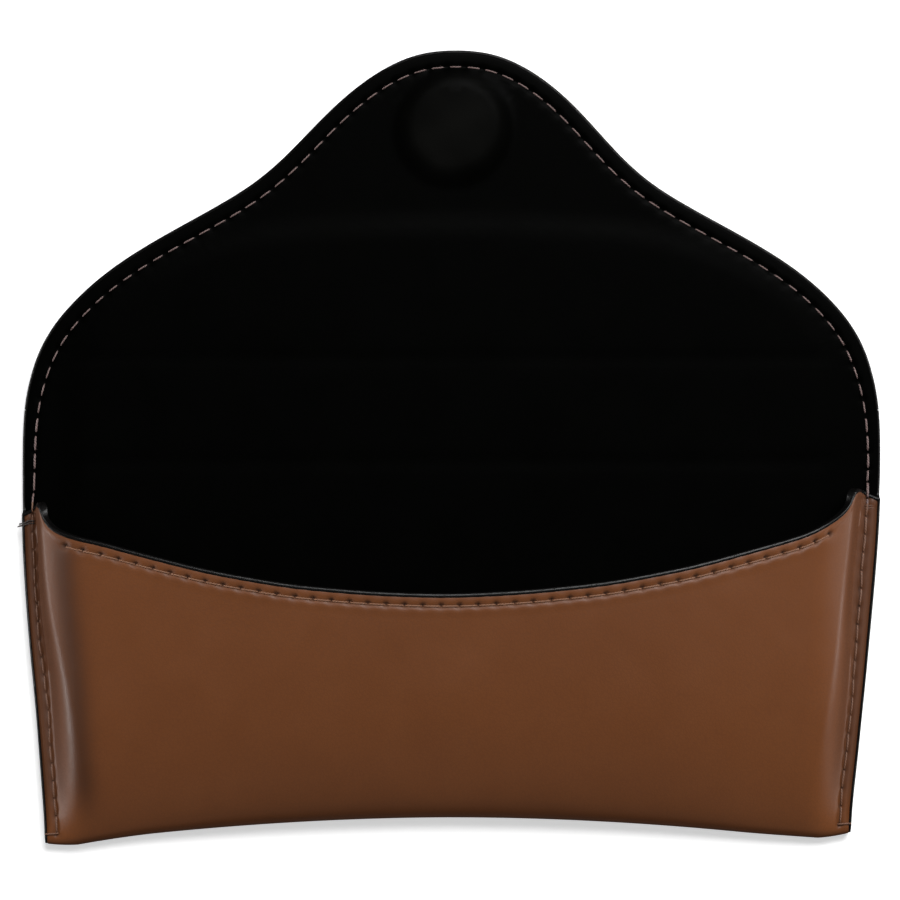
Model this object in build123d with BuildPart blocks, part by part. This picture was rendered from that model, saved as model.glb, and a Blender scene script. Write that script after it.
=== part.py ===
from build123d import *
import math
import os

# Soft envelope pouch for folded spectacles, lying open on its back.
# X is across the pouch, +Y runs from the bottom fold to the tip of the flap,
# +Z is out of the front panel.  Millimetres throughout.
#
# One leather blank makes the front panel, the bottom fold, the back panel and
# the flap.  It is parted at the two flap creases, because the leather turns
# there: pouch -> spine strip -> flap.

# ------------------------------------------------------------------ driving sizes
LENGTH = 162.4            # bottom corners to flap tip, leather only
PAINT = 0.20              # thickness of the black edge coating
YC = (LENGTH + PAINT) / 2  # distance from the bottom corners to the origin

os.makedirs("parts", exist_ok=True)

T_LEATHER = 1.20          # outer leather
T_LINING = 0.60           # black microfibre lining
T_SEAM = 3.70             # whole stack at the sewn side flanges
FOLD_R = T_SEAM / 2       # outer radius of the bottom fold
FLANGE = 3.3              # width of the flat sewn flange
T_BOARD = 0.55            # stiffener board inside the back and the flap
BACK_Z = T_LEATHER + T_LINING  # lining surface where there is no board

W_BOTTOM, W_MOUTH, Y_MOUTH = 82.75, 88.0, 70.0   # half widths of the pocket

H_SIDE = 7.6              # bulge of the front panel beside the flanges
H_CROWN = 14.0            # extra bulge on the centre line
H_FOLD = 2.6              # quick rise just above the bottom fold

CREASE_1 = 78.0           # pouch / spine crease, from the bottom corners
CREASE_2 = 99.2           # spine / flap crease
CREASE_GAP = 0.25         # half of the parting at a crease

MAG_R, MAG_T = 7.5, 1.5   # sewn-in magnets
PATCH_R, PATCH_T = 8.4, 0.2
FLAP_MAG_Y = 146.8
FRONT_MAG_Y = 30.6

PITCH, STITCH_L, STITCH_W, STITCH_T = 3.7, 2.7, 0.55, 0.30
GROOVE_W, GROOVE_D = 0.95, 0.34


def row(y):
    """distance from the bottom corners -> row frame"""
    return y - YC


# ------------------------------------------------------------------ plan outline
HALF = [
    (82.3, -3.0), (82.45, 0.0), (82.75, 6.0), (83.4, 13.4), (84.4, 24.5), (85.6, 37.0),
    (86.8, 50.4), (87.6, 62.0), (87.93, 72.0), (88.0, 80.0), (87.85, 86.0),
    (87.35, 91.1), (86.3, 96.0), (84.6, 100.95), (81.85, 105.9), (77.8, 110.8),
    (72.4, 115.75), (65.4, 120.7), (57.0, 125.6), (48.1, 130.55), (40.5, 135.4),
    (34.7, 140.4), (29.9, 145.4), (25.2, 150.3), (19.8, 155.1), (14.1, 158.9),
    (7.8, 161.5), (0.0, LENGTH),
]
OUTLINE = [(x, row(y)) for x, y in HALF] + [(-x, row(y)) for x, y in HALF[-2::-1]]

MOUTH_HALF = [
    (0.0, 51.2), (8.2, 51.4), (16.4, 51.85), (24.5, 52.55), (32.5, 53.45), (40.6, 54.8),
    (48.6, 56.35), (56.6, 58.3), (64.6, 60.4), (71.5, 62.3), (75.5, 63.55), (78.2, 64.7),
    (80.2, 65.9), (81.5, 67.2), (82.4, 68.8), (83.1, 70.2), (83.9, 70.7), (85.1, 70.1),
    (86.5, 69.2), (90.0, 68.4),
]
MOUTH = [(-x, row(y)) for x, y in MOUTH_HALF[:0:-1]] + [(x, row(y)) for x, y in MOUTH_HALF]


def fold_y(x):
    """the bottom fold rises in the middle, where the pocket is propped open"""
    a = abs(x)
    y = 4.9 * (1 - min(1.0, a / 76.0) ** 1.9)
    if a > 76:
        y += 0.6 * ((a - 76) / 6.3) ** 2
    return y


def half_width(y):
    return W_BOTTOM + (W_MOUTH - W_BOTTOM) * y / Y_MOUTH


# ------------------------------------------------------------------ front panel form
def bulge(x, y):
    """height of the front panel above the flat flange"""
    up = y - fold_y(x)
    if up <= 0:
        return 0.0
    w = half_width(y)
    d = w - abs(x) - FLANGE
    if d <= 0:
        return 0.0
    wall = 6.6 - 4.2 * smooth((y - 5) / 58)
    s = d / wall
    s = s * s / (s + 0.06)
    rise = 0.66 * (1 - (1 - min(1.0, s)) ** 2.4)          # the wall, then a softer shoulder
    rise += 0.34 * (1 - (1 - min(1.0, d / 10.0)) ** 2)
    side = H_SIDE * (1 - math.exp(-up / 16.0))
    centre = H_CROWN * (1 - math.exp(-up / 19.0)) + H_FOLD * (1 - math.exp(-up / 1.6))
    crown = 1 - (abs(x) / (w - FLANGE)) ** 2.4
    return rise * (side + (centre - side) * crown)


def outer(x, y):
    up = y - fold_y(x)
    tip = FOLD_R if up >= FOLD_R else math.sqrt(max(0.0, FOLD_R**2 - (FOLD_R - max(0.0, up)) ** 2))
    return FOLD_R + tip + bulge(x, y)


BALL = [(math.sin(math.radians(p)), math.cos(math.radians(p))) for p in range(0, 90, 6)] + [(0.999, 0.0447)]
SPIN = [(math.cos(2 * math.pi * k / 24), math.sin(2 * math.pi * k / 24)) for k in range(24)]


def inner(x, y, t):
    """surface a true distance t inside the outer face of the front panel"""
    best = outer(x, y) - t
    for r, h in BALL[1:]:
        for c, s in SPIN:
            px, py = x + t * r * c, y + t * r * s
            if py >= fold_y(px):
                best = min(best, outer(px, py) - t * h)
    return best


def magnet_room(x, y):
    """how far the front lining is pushed in behind the front magnet"""
    r = math.hypot(x, y - FRONT_MAG_Y)
    k = min(1.0, max(0.0, (14.6 - r) / 4.0))
    return 2.75 * k * k * (3 - 2 * k)


# stations across the pouch, as shares of the half width
STATIONS = [0.0, 4.5, 9.0, 11.6, 14.6, 21.0, 31.0, 42.0, 53.0, 62.0, 68.0, 72.0, 74.8,
            77.0, 78.8, 80.2, 81.2, 81.8, 82.1, 87.2]
SHARES = [x / 85.35 for x in STATIONS]
SHARES = [-u for u in SHARES[:0:-1]] + SHARES
SLOPE = (W_MOUTH - W_BOTTOM) / Y_MOUTH


def station_plane(u):
    """upright plane through the pouch along a line of constant share of the half width"""
    along = Vector(u * SLOPE, 1, 0).normalized()
    return Plane(
        origin=(u * half_width(0), row(0), 0), x_dir=along, z_dir=along.cross(Vector(0, 0, 1))
    )


def station_fold(u):
    y = 0.0
    for _ in range(6):
        y = fold_y(u * half_width(y))
    return y


def local(u, y):
    return y * math.sqrt(1 + (u * SLOPE) ** 2)


FRONT_TOP = 72.5
RISE = [0.0, 0.25, 0.6, 1.1, 1.85, 2.8, 4.2, 6.2, 9.0, 12.5, 17.0, 22.5, 29.0, 36.0, 44.0, 52.0, 60.0]


def front_ys(u, start=0.0):
    yb = station_fold(u)
    ys = [yb + r for r in RISE if r >= start and yb + r < FRONT_TOP - 4]
    if start and abs(ys[0] - yb - start) > 1e-6:
        ys = [yb + start] + ys
    return yb, ys + [FRONT_TOP]


def front_section(u, t_out, t_in, room):
    """closed profile of one layer of the pocket: back, bottom fold and front panel"""
    yb, ys = front_ys(u)
    r_out, r_in = FOLD_R - t_out, max(0.05, FOLD_R - t_in)

    def curve(r, t, push):
        pts = []
        for k in range(1, 4):
            if r > 0.3:
                a = math.radians(270 - 90 * k / 4)
                pts.append((local(u, yb + FOLD_R + r * math.cos(a)), FOLD_R + r * math.sin(a)))
        if t == 0:
            pts += [(local(u, y), outer(u * half_width(y), y)) for y in ys]
        else:
            t_y = T_LEATHER if t <= T_LEATHER else FOLD_R - 0.05
            yi = [yb + t_y + (y - yb) for y in ys[:-1] if y + t_y < FRONT_TOP - 3] + [FRONT_TOP]
            pts += [
                (local(u, y), (FOLD_R if k == 0 else inner(u * half_width(y), y, t))
                 - push * magnet_room(u * half_width(y), y))
                for k, y in enumerate(yi)
            ]
        return pts

    return yb, curve(r_out, t_out, room), curve(r_in, t_in, room)


def pocket_layer(u, t_out, t_in, room):
    """draws the layer profile into the sketch that is open"""
    yb, out, inn = front_section(u, t_out, t_in, room)
    top = local(u, CREASE_1 + 3)
    bo, bi = (local(u, yb + FOLD_R), t_out), (local(u, yb + FOLD_R), t_in)
    with BuildLine() as profile:
        Line((top, t_out), bo)
        Spline([bo] + out, tangents=[(-1, 0), (1, 0)], tangent_scalars=[1, 1])
        Line(out[-1], inn[-1])
        if t_in < FOLD_R - 0.2:
            Spline([bi] + inn, tangents=[(-1, 0), (1, 0)], tangent_scalars=[1, 1])
        else:
            Line(bi, (bi[0], 2 * FOLD_R - t_in))
            Spline([(bi[0], 2 * FOLD_R - t_in)] + inn[1:], tangents=[(1, 0.4), (1, 0)], tangent_scalars=[1, 1])
        Line(bi, (top, t_in))
        Line((top, t_in), (top, t_out))
    make_face(profile.edges())


# ------------------------------------------------------------------ curves in plan
OUTLINE_EDGE = Spline(*OUTLINE)
N_DENSE = 900
DENSE = [OUTLINE_EDGE @ (k / N_DENSE) for k in range(N_DENSE + 1)]
DENSE = [(p.X, p.Y) for p in DENSE]


def shifted(points, d):
    """points moved to the left of their direction of travel by d(y) or d"""
    out = []
    for k, (x, y) in enumerate(points):
        x0, y0 = points[max(0, k - 1)]
        x1, y1 = points[min(len(points) - 1, k + 1)]
        n = math.hypot(x1 - x0, y1 - y0)
        dd = d(y + YC) if callable(d) else d
        out.append((x - dd * (y1 - y0) / n, y + dd * (x1 - x0) / n))
    return out


def smooth(t):
    t = min(1.0, max(0.0, t))
    return t * t * (3 - 2 * t)


def inset(y):
    """distance of the sewn row from the cut edge"""
    return 2.3 + 0.9 * smooth((y - 75) / 30)


ROW = [(x, y) for x, y in shifted(DENSE, inset) if y + YC > 3.0]
GROOVE_OUT = shifted(DENSE, lambda y: inset(y) - GROOVE_W / 2)[::6]
GROOVE_IN = shifted(DENSE, lambda y: inset(y) + GROOVE_W / 2)[::6]
PAINT_OUT = shifted(DENSE, -PAINT)[::6]


def along(points, pitch, phase=0.5):
    """evenly spaced (x, y, angle) along a polyline"""
    seg = [math.dist(points[k], points[k + 1]) for k in range(len(points) - 1)]
    total = sum(seg)
    n = round(total / pitch)
    out, k, run = [], 0, 0.0
    for i in range(n):
        s = (i + phase) * total / n
        while run + seg[k] < s:
            run += seg[k]
            k += 1
        f = (s - run) / seg[k]
        (x0, y0), (x1, y1) = points[k], points[k + 1]
        out.append((x0 + f * (x1 - x0), y0 + f * (y1 - y0), math.degrees(math.atan2(y1 - y0, x1 - x0))))
    return out


def clear_of_creases(y):
    return all(abs(y + YC - c) > STITCH_L / 2 + 0.5 for c in (CREASE_1, CREASE_2))


SEWN = [s for s in along(ROW, PITCH) if clear_of_creases(s[1])]
FLANGE_TOP = 68.2


def in_body(low, high, side=0):
    return [s for s in SEWN if low < s[1] + YC < high and (side == 0 or side * s[0] > 0)]


def below(points):
    """face under an open curve that runs from the right edge to the left edge"""
    with BuildLine() as edge:
        e = Spline(*points)
        Line(e @ 1, e @ 0)
    make_face(edge.edges())


def plan(points, ys, low, high):
    """upright prism over the area under an open curve, kept between two distances"""
    with BuildPart(mode=Mode.PRIVATE) as p:
        with BuildSketch(Plane.XY.offset(low)) as sk:
            below(points)
            with Locations((0, row((ys[0] + ys[1]) / 2))):
                Rectangle(220, ys[1] - ys[0], mode=Mode.INTERSECT)
        extrude(sk.sketch, amount=high - low)
    return p.part


def plan_ring(points_out, points_in, ys, low, high):
    """the same prism, hollow: a strip that follows the outline"""
    with BuildPart(mode=Mode.PRIVATE) as p:
        with BuildSketch(Plane.XY.offset(low)) as sk:
            below(points_out)
            with BuildSketch(Plane.XY.offset(low), mode=Mode.PRIVATE) as hole:
                below(points_in)
            add(hole.sketch, mode=Mode.SUBTRACT)
            with Locations((0, row((ys[0] + ys[1]) / 2))):
                Rectangle(220, ys[1] - ys[0], mode=Mode.INTERSECT)
        extrude(sk.sketch, amount=high - low)
    return p.part


Y_POUCH = (-8.0, CREASE_1 - CREASE_GAP)
Y_SPINE = (CREASE_1 + CREASE_GAP, CREASE_2 - CREASE_GAP)
Y_FLAP = (CREASE_2 + CREASE_GAP, 180.0)


def beyond_mouth(points=MOUTH):
    """face beyond the mouth edge"""
    with BuildLine() as edge:
        e = Spline(*points)
        Polyline(e @ 1, (100, 40), (-100, 40), e @ 0)
    make_face(edge.edges())


def stitch(length=STITCH_L, width=STITCH_W, height=STITCH_T):
    return Box(length, width, height, align=(Align.CENTER, Align.CENTER, Align.MIN))


# ------------------------------------------------------------------ pouch leather
with BuildPart() as pocket_raw:
    for u in SHARES:
        with BuildSketch(station_plane(u)):
            pocket_layer(u, 0.0, T_LEATHER, 0.0)
    loft(ruled=True)

with BuildPart() as pouch_leather:
    add(pocket_raw.part)
    with BuildSketch(Plane.XY.offset(FOLD_R)):
        beyond_mouth()
    extrude(amount=60, mode=Mode.SUBTRACT)
    add(plan(OUTLINE, Y_POUCH, -1, 60), mode=Mode.INTERSECT)
    add(plan_ring(GROOVE_OUT, GROOVE_IN, (2.2, CREASE_1 + 1), 0, GROOVE_D), mode=Mode.SUBTRACT)
print("pouch_leather", pouch_leather.part.is_valid, len(pouch_leather.part.solids()), pouch_leather.part.volume)
pouch_leather.part.label = "pouch_leather"
export_step(pouch_leather.part, "parts/pouch_leather.step")


# ------------------------------------------------------------------ pocket lining
BOARD_HALF = [(72.0, 14.0), (74.5, 17.0), (75.5, 30.0), (76.6, 50.0), (77.2, 72.0), (77.4, 90.0),
              (76.8, 99.0), (74.5, 105.5), (69.5, 111.5), (61.0, 117.0), (50.0, 121.6),
              (38.0, 124.6), (20.0, 126.1), (0.0, 126.5)]
BOARD = [(x, row(y)) for x, y in BOARD_HALF] + [(-x, row(y)) for x, y in BOARD_HALF[-2::-1]]
STEP = shifted(BOARD, -T_LINING)
Z_BOARD = T_LEATHER + T_BOARD          # top of the stiffener
Z_RAISED = Z_BOARD + T_LINING          # lining over the stiffener
BACK_BOARD_Y = (13.6, CREASE_1 - 2.0)
SPINE_BOARD_Y = (CREASE_1 + 2.0, CREASE_2 - 2.0)
FLAP_BOARD_Y = (CREASE_2 + 2.0, 180.0)


def grown(ys, d):
    return (ys[0] - d, ys[1] + d)


with BuildPart() as pocket_lining:
    for u in SHARES:
        with BuildSketch(station_plane(u)):
            pocket_layer(u, T_LEATHER, T_LEATHER + T_LINING, 1.0)
    loft(ruled=True)
    with BuildSketch(Plane.XY.offset(FOLD_R)):
        beyond_mouth()
    extrude(amount=60, mode=Mode.SUBTRACT)
    add(plan(OUTLINE, Y_POUCH, -1, 60), mode=Mode.INTERSECT)
    add(plan(STEP, grown(BACK_BOARD_Y, T_LINING), T_LEATHER + 0.1, Z_RAISED))
    add(plan(BOARD, BACK_BOARD_Y, 0, Z_BOARD), mode=Mode.SUBTRACT)
print("pocket_lining", pocket_lining.part.is_valid, len(pocket_lining.part.solids()), pocket_lining.part.volume)
pocket_lining.part.label = "pocket_lining"
export_step(pocket_lining.part, "parts/pocket_lining.step")

# ------------------------------------------------------------------ stiffener boards
with BuildPart() as back_board:
    add(plan(BOARD, BACK_BOARD_Y, T_LEATHER, Z_BOARD))
back_board.part.label = "back_board"
export_step(back_board.part, "parts/back_board.step")

with BuildPart() as spine_board:
    add(plan(BOARD, SPINE_BOARD_Y, T_LEATHER, Z_BOARD))
spine_board.part.label = "spine_board"
export_step(spine_board.part, "parts/spine_board.step")

with BuildPart() as flap_board:
    add(plan(BOARD, FLAP_BOARD_Y, T_LEATHER, Z_BOARD))
flap_board.part.label = "flap_board"
export_step(flap_board.part, "parts/flap_board.step")

# ------------------------------------------------------------------ spine strip
with BuildPart() as spine_leather:
    add(plan(OUTLINE, Y_SPINE, 0, T_LEATHER))
    add(plan_ring(GROOVE_OUT, GROOVE_IN, (CREASE_1 - 1, CREASE_2 + 1), 0, GROOVE_D), mode=Mode.SUBTRACT)
spine_leather.part.label = "spine_leather"
export_step(spine_leather.part, "parts/spine_leather.step")

with BuildPart() as spine_lining:
    add(plan(OUTLINE, Y_SPINE, T_LEATHER, T_LEATHER + T_LINING))
    add(plan(STEP, grown(SPINE_BOARD_Y, T_LINING), T_LEATHER + 0.1, Z_RAISED))
    add(plan(BOARD, SPINE_BOARD_Y, 0, Z_BOARD), mode=Mode.SUBTRACT)
spine_lining.part.label = "spine_lining"
export_step(spine_lining.part, "parts/spine_lining.step")

# ------------------------------------------------------------------ flap
with BuildPart() as flap_leather:
    add(plan(OUTLINE, Y_FLAP, 0, T_LEATHER))
    add(plan_ring(GROOVE_OUT, GROOVE_IN, (CREASE_2 - 1, 180), 0, GROOVE_D), mode=Mode.SUBTRACT)
flap_leather.part.label = "flap_leather"
export_step(flap_leather.part, "parts/flap_leather.step")

Z_MAG = T_LEATHER + MAG_T
Z_PATCH = Z_MAG + PATCH_T
with BuildPart() as flap_lining:
    add(plan(OUTLINE, Y_FLAP, T_LEATHER, T_LEATHER + T_LINING))
    add(plan(STEP, grown(FLAP_BOARD_Y, T_LINING), T_LEATHER + 0.1, Z_RAISED))
    add(plan(BOARD, FLAP_BOARD_Y, 0, Z_BOARD), mode=Mode.SUBTRACT)
    with BuildSketch(Plane.XY.offset(T_LEATHER + 0.1)):
        with Locations((0, row(FLAP_MAG_Y))):
            Circle(10.9)
    with BuildSketch(Plane.XY.offset(Z_PATCH + T_LINING)):
        with Locations((0, row(FLAP_MAG_Y))):
            Circle(PATCH_R + 0.3)
    loft()
    with BuildSketch(Plane.XY.offset(T_LEATHER)):
        with Locations((0, row(FLAP_MAG_Y))):
            Circle(MAG_R)
    extrude(amount=MAG_T, mode=Mode.SUBTRACT)
    with BuildSketch(Plane.XY.offset(Z_MAG)):
        with Locations((0, row(FLAP_MAG_Y))):
            Circle(PATCH_R)
    extrude(amount=PATCH_T, mode=Mode.SUBTRACT)
flap_lining.part.label = "flap_lining"
export_step(flap_lining.part, "parts/flap_lining.step")

with BuildPart() as flap_magnet:
    with BuildSketch(Plane.XY.offset(T_LEATHER)):
        with Locations((0, row(FLAP_MAG_Y))):
            Circle(MAG_R)
    extrude(amount=MAG_T)
    fillet(flap_magnet.edges().filter_by(GeomType.CIRCLE), 0.3)
flap_magnet.part.label = "flap_magnet"
export_step(flap_magnet.part, "parts/flap_magnet.step")

with BuildPart() as flap_magnet_patch:
    with BuildSketch(Plane.XY.offset(Z_MAG)):
        with Locations((0, row(FLAP_MAG_Y))):
            Circle(PATCH_R)
    extrude(amount=PATCH_T)
flap_magnet_patch.part.label = "flap_magnet_patch"
export_step(flap_magnet_patch.part, "parts/flap_magnet_patch.step")


# ------------------------------------------------------------------ front magnet
def slope(x, y, h=0.5):
    gx = (outer(x + h, y) - outer(x - h, y)) / (2 * h)
    gy = (outer(x, y + h) - outer(x, y - h)) / (2 * h)
    return Vector(-gx, -gy, 1).normalized()


MAG_N = slope(0, FRONT_MAG_Y, 6.0)
MAG_X = Vector(1, 0, 0)
MAG_V = MAG_N.cross(MAG_X)


def seat(radius, thickness, gap=0.12):
    """how far the disc's top face sits under the leather so that its rim is clear"""
    z0 = inner(0, FRONT_MAG_Y, T_LEATHER)
    drop = 0.0
    for k in range(24):
        a = 2 * math.pi * k / 24
        for r in (radius, radius * 0.6, 0.0):
            px, pv = r * math.cos(a), r * math.sin(a)
            x = px * MAG_X.X + pv * MAG_V.X
            y = FRONT_MAG_Y + pv * MAG_V.Y
            z = z0 + pv * MAG_V.Z
            drop = max(drop, (z - inner(x, y, T_LEATHER)) * MAG_N.Z + gap)
    return z0, drop


Z_SEAT, DROP = seat(MAG_R, MAG_T)
TOP = Vector(0, row(FRONT_MAG_Y), Z_SEAT) - MAG_N * DROP


def magnet_plane(depth):
    return Plane(origin=TOP - MAG_N * depth, x_dir=MAG_X, z_dir=-MAG_N)


with BuildPart() as front_magnet:
    with BuildSketch(magnet_plane(0)):
        Circle(MAG_R)
    extrude(amount=MAG_T)
    fillet(front_magnet.edges().filter_by(GeomType.CIRCLE), 0.3)
front_magnet.part.label = "front_magnet"
export_step(front_magnet.part, "parts/front_magnet.step")

with BuildPart() as front_magnet_patch:
    with BuildSketch(magnet_plane(MAG_T)):
        Circle(PATCH_R - 0.7)
    extrude(amount=PATCH_T)
front_magnet_patch.part.label = "front_magnet_patch"
export_step(front_magnet_patch.part, "parts/front_magnet_patch.step")
print("magnet seat", Z_SEAT, DROP, "overlap with lining", (front_magnet_patch.part & pocket_lining.part).volume
      if (front_magnet_patch.part & pocket_lining.part) else 0.0,
      "with leather", (front_magnet.part & pouch_leather.part).volume if (front_magnet.part & pouch_leather.part) else 0.0)

# ------------------------------------------------------------------ sewing thread
MOUTH_EDGE = Spline(*MOUTH)
MOUTH_DENSE = [MOUTH_EDGE @ (k / 600) for k in range(601)]
MOUTH_DENSE = [(p.X, p.Y) for p in MOUTH_DENSE]
MOUTH_ROW = [(x, y) for x, y in shifted(MOUTH_DENSE, -1.9) if abs(x) < 77.5]


def path_3d(points):
    return [(x, y, outer(x, y + YC)) for x, y in points]


def mouth_stitches():
    pts = path_3d(MOUTH_ROW)
    seg = [math.dist(pts[k], pts[k + 1]) for k in range(len(pts) - 1)]
    total, out, k, run = sum(seg), [], 0, 0.0
    n = round(total / PITCH)
    for i in range(n):
        s = (i + 0.5) * total / n
        while run + seg[k] < s:
            run += seg[k]
            k += 1
        f = (s - run) / seg[k]
        p = Vector(*pts[k]) + (Vector(*pts[k + 1]) - Vector(*pts[k])) * f
        nrm = slope(p.X, p.Y + YC)
        tan = Vector(*pts[k + 1]) - Vector(*pts[k])
        tan = (tan - nrm * tan.dot(nrm)).normalized()
        out.append(Plane(origin=p + nrm * 0.16, x_dir=tan, z_dir=nrm))
    return out


def flat_planes(spots, z, lift=0.03):
    return [Plane(origin=(x, y, z + lift), x_dir=(math.cos(math.radians(a)), math.sin(math.radians(a)), 0),
                  z_dir=(0, 0, 1)) for x, y, a in spots]


def under_planes(spots):
    """thread lying in the groove of the underside"""
    return flat_planes(spots, 0.03, 0.0)


def seam_planes(side):
    low = in_body(2.0, CREASE_1, side)
    on_flange = [s for s in low if s[1] + YC < FLANGE_TOP - 1.6]
    on_lining = [s for s in low if s[1] + YC > FLANGE_TOP + 4.2]
    tack = [(side * 80.85, row(2.9), 0.0)]
    return flat_planes(on_flange, 2 * FOLD_R, 0.09) + flat_planes(tack, 2 * FOLD_R, 0.16) + flat_planes(on_lining, T_LEATHER + T_LINING) + under_planes(low)


with BuildPart() as mouth_stitching:
    with Locations(*mouth_stitches()):
        stitch()
mouth_stitching.part.label = "mouth_stitching"
export_step(mouth_stitching.part, "parts/mouth_stitching.step")

with BuildPart() as left_seam_stitching:
    with Locations(*seam_planes(-1)):
        stitch()
left_seam_stitching.part.label = "left_seam_stitching"
export_step(left_seam_stitching.part, "parts/left_seam_stitching.step")

with BuildPart() as right_seam_stitching:
    with Locations(*seam_planes(1)):
        stitch()
right_seam_stitching.part.label = "right_seam_stitching"
export_step(right_seam_stitching.part, "parts/right_seam_stitching.step")

with BuildPart() as spine_stitching:
    with Locations(*(flat_planes(in_body(CREASE_1, CREASE_2), T_LEATHER + T_LINING)
                     + under_planes(in_body(CREASE_1, CREASE_2)))):
        stitch()
spine_stitching.part.label = "spine_stitching"
export_step(spine_stitching.part, "parts/spine_stitching.step")

with BuildPart() as flap_stitching:
    with Locations(*(flat_planes(in_body(CREASE_2, 180), T_LEATHER + T_LINING)
                     + under_planes(in_body(CREASE_2, 180)))):
        stitch()
flap_stitching.part.label = "flap_stitching"
export_step(flap_stitching.part, "parts/flap_stitching.step")

# thread bars that lock the top of each side seam
with BuildPart() as left_bar_tack:
    with Locations(Plane(origin=(-86.1, row(67.4), 2 * FOLD_R + 0.1))):
        stitch(2.3, 0.9, 0.4)
left_bar_tack.part.label = "left_bar_tack"
export_step(left_bar_tack.part, "parts/left_bar_tack.step")

with BuildPart() as right_bar_tack:
    with Locations(Plane(origin=(86.1, row(67.4), 2 * FOLD_R + 0.1))):
        stitch(2.3, 0.9, 0.4)
right_bar_tack.part.label = "right_bar_tack"
export_step(right_bar_tack.part, "parts/right_bar_tack.step")

# ------------------------------------------------------------------ black edge coating
with BuildPart() as left_edge_paint:
    add(plan_ring(PAINT_OUT, OUTLINE, (2.2, FLANGE_TOP), 0, 2 * FOLD_R))
    add(plan_ring(PAINT_OUT, OUTLINE, (FLANGE_TOP, CREASE_1 - CREASE_GAP), 0, T_LEATHER + T_LINING))
    split(bisect_by=Plane.YZ, keep=Keep.BOTTOM)
left_edge_paint.part.label = "left_edge_paint"
export_step(left_edge_paint.part, "parts/left_edge_paint.step")

with BuildPart() as right_edge_paint:
    add(plan_ring(PAINT_OUT, OUTLINE, (2.2, FLANGE_TOP), 0, 2 * FOLD_R))
    add(plan_ring(PAINT_OUT, OUTLINE, (FLANGE_TOP, CREASE_1 - CREASE_GAP), 0, T_LEATHER + T_LINING))
    split(bisect_by=Plane.YZ, keep=Keep.TOP)
right_edge_paint.part.label = "right_edge_paint"
export_step(right_edge_paint.part, "parts/right_edge_paint.step")

with BuildPart() as spine_edge_paint:
    add(plan_ring(PAINT_OUT, OUTLINE, Y_SPINE, 0, T_LEATHER + T_LINING))
spine_edge_paint.part.label = "spine_edge_paint"
export_step(spine_edge_paint.part, "parts/spine_edge_paint.step")

with BuildPart() as flap_edge_paint:
    add(plan_ring(PAINT_OUT, OUTLINE, Y_FLAP, 0, T_LEATHER + T_LINING))
flap_edge_paint.part.label = "flap_edge_paint"
export_step(flap_edge_paint.part, "parts/flap_edge_paint.step")

with BuildPart() as mouth_edge_paint:
    add(pocket_raw.part)
    with BuildSketch(Plane.XY.offset(FOLD_R)):
        beyond_mouth()
        with BuildSketch(Plane.XY.offset(FOLD_R), mode=Mode.PRIVATE) as further:
            beyond_mouth(shifted(MOUTH, PAINT))
        add(further.sketch, mode=Mode.SUBTRACT)
    extrude(amount=60, mode=Mode.INTERSECT)
    add(plan(OUTLINE, Y_POUCH, -1, 60), mode=Mode.INTERSECT)
mouth_edge_paint.part.label = "mouth_edge_paint"
export_step(mouth_edge_paint.part, "parts/mouth_edge_paint.step")

for piece in (pouch_leather, pocket_lining, back_board, spine_board, flap_board, spine_leather, spine_lining,
              flap_leather, flap_lining, flap_magnet, front_magnet, mouth_stitching, left_seam_stitching,
              flap_stitching, left_edge_paint, flap_edge_paint, mouth_edge_paint):
    b = piece.part.bounding_box()
    print(f"{piece.part.label:22s} valid {piece.part.is_valid} solids {len(piece.part.solids())} "
          f"vol {piece.part.volume:9.2f}  z {b.min.Z:.2f}..{b.max.Z:.2f} y {b.min.Y:.1f}..{b.max.Y:.1f}")
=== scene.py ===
import math

import bpy
import numpy as np
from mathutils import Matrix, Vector
from mathutils.geometry import delaunay_2d_cdt


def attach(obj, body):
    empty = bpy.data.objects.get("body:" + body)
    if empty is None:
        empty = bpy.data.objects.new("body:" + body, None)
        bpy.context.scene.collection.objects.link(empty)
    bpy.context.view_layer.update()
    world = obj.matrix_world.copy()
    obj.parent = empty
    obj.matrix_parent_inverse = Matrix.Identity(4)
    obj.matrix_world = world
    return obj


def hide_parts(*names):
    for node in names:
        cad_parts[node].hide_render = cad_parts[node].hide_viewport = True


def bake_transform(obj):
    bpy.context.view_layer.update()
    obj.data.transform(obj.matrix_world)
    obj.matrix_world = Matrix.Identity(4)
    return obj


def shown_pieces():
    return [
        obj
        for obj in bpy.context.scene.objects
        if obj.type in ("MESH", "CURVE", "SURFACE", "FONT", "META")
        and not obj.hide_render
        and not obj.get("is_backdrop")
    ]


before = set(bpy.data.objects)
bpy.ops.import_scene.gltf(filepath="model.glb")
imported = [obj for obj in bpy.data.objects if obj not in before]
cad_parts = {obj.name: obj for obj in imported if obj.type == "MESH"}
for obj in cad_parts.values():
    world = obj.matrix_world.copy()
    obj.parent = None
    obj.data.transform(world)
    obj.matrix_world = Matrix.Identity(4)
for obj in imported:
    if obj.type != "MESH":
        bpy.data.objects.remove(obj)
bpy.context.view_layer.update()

# ----------------------------------------------------------------------------------
# Sizes of the pouch, in millimetres.  Y here is counted from the bottom corners; the
# row frame's Y is that less YC.
# ----------------------------------------------------------------------------------
YC = 81.3
T_LEATHER, T_LINING = 1.2, 0.6
T_LAM = T_LEATHER + T_LINING
T_SEAM = 3.7
R_FOLD = T_SEAM / 2
FLANGE = 3.3
T_BOARD = 0.55
FLANGE_END = 69.6                  # where the sewn row leaves the side flange
W_BOTTOM, W_MOUTH, Y_MOUTH = 82.75, 88.0, 70.0
H_SIDE, H_CROWN, H_FOLD = 7.6, 14.0, 2.6
CREASE_1, CREASE_2 = 78.0, 99.2
SEAM_Y = 88.6                      # both halves lie flat on the spine here, so they meet unseen
FLAP_MAG_Y, FRONT_MAG_Y = 146.8, 30.6
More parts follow.
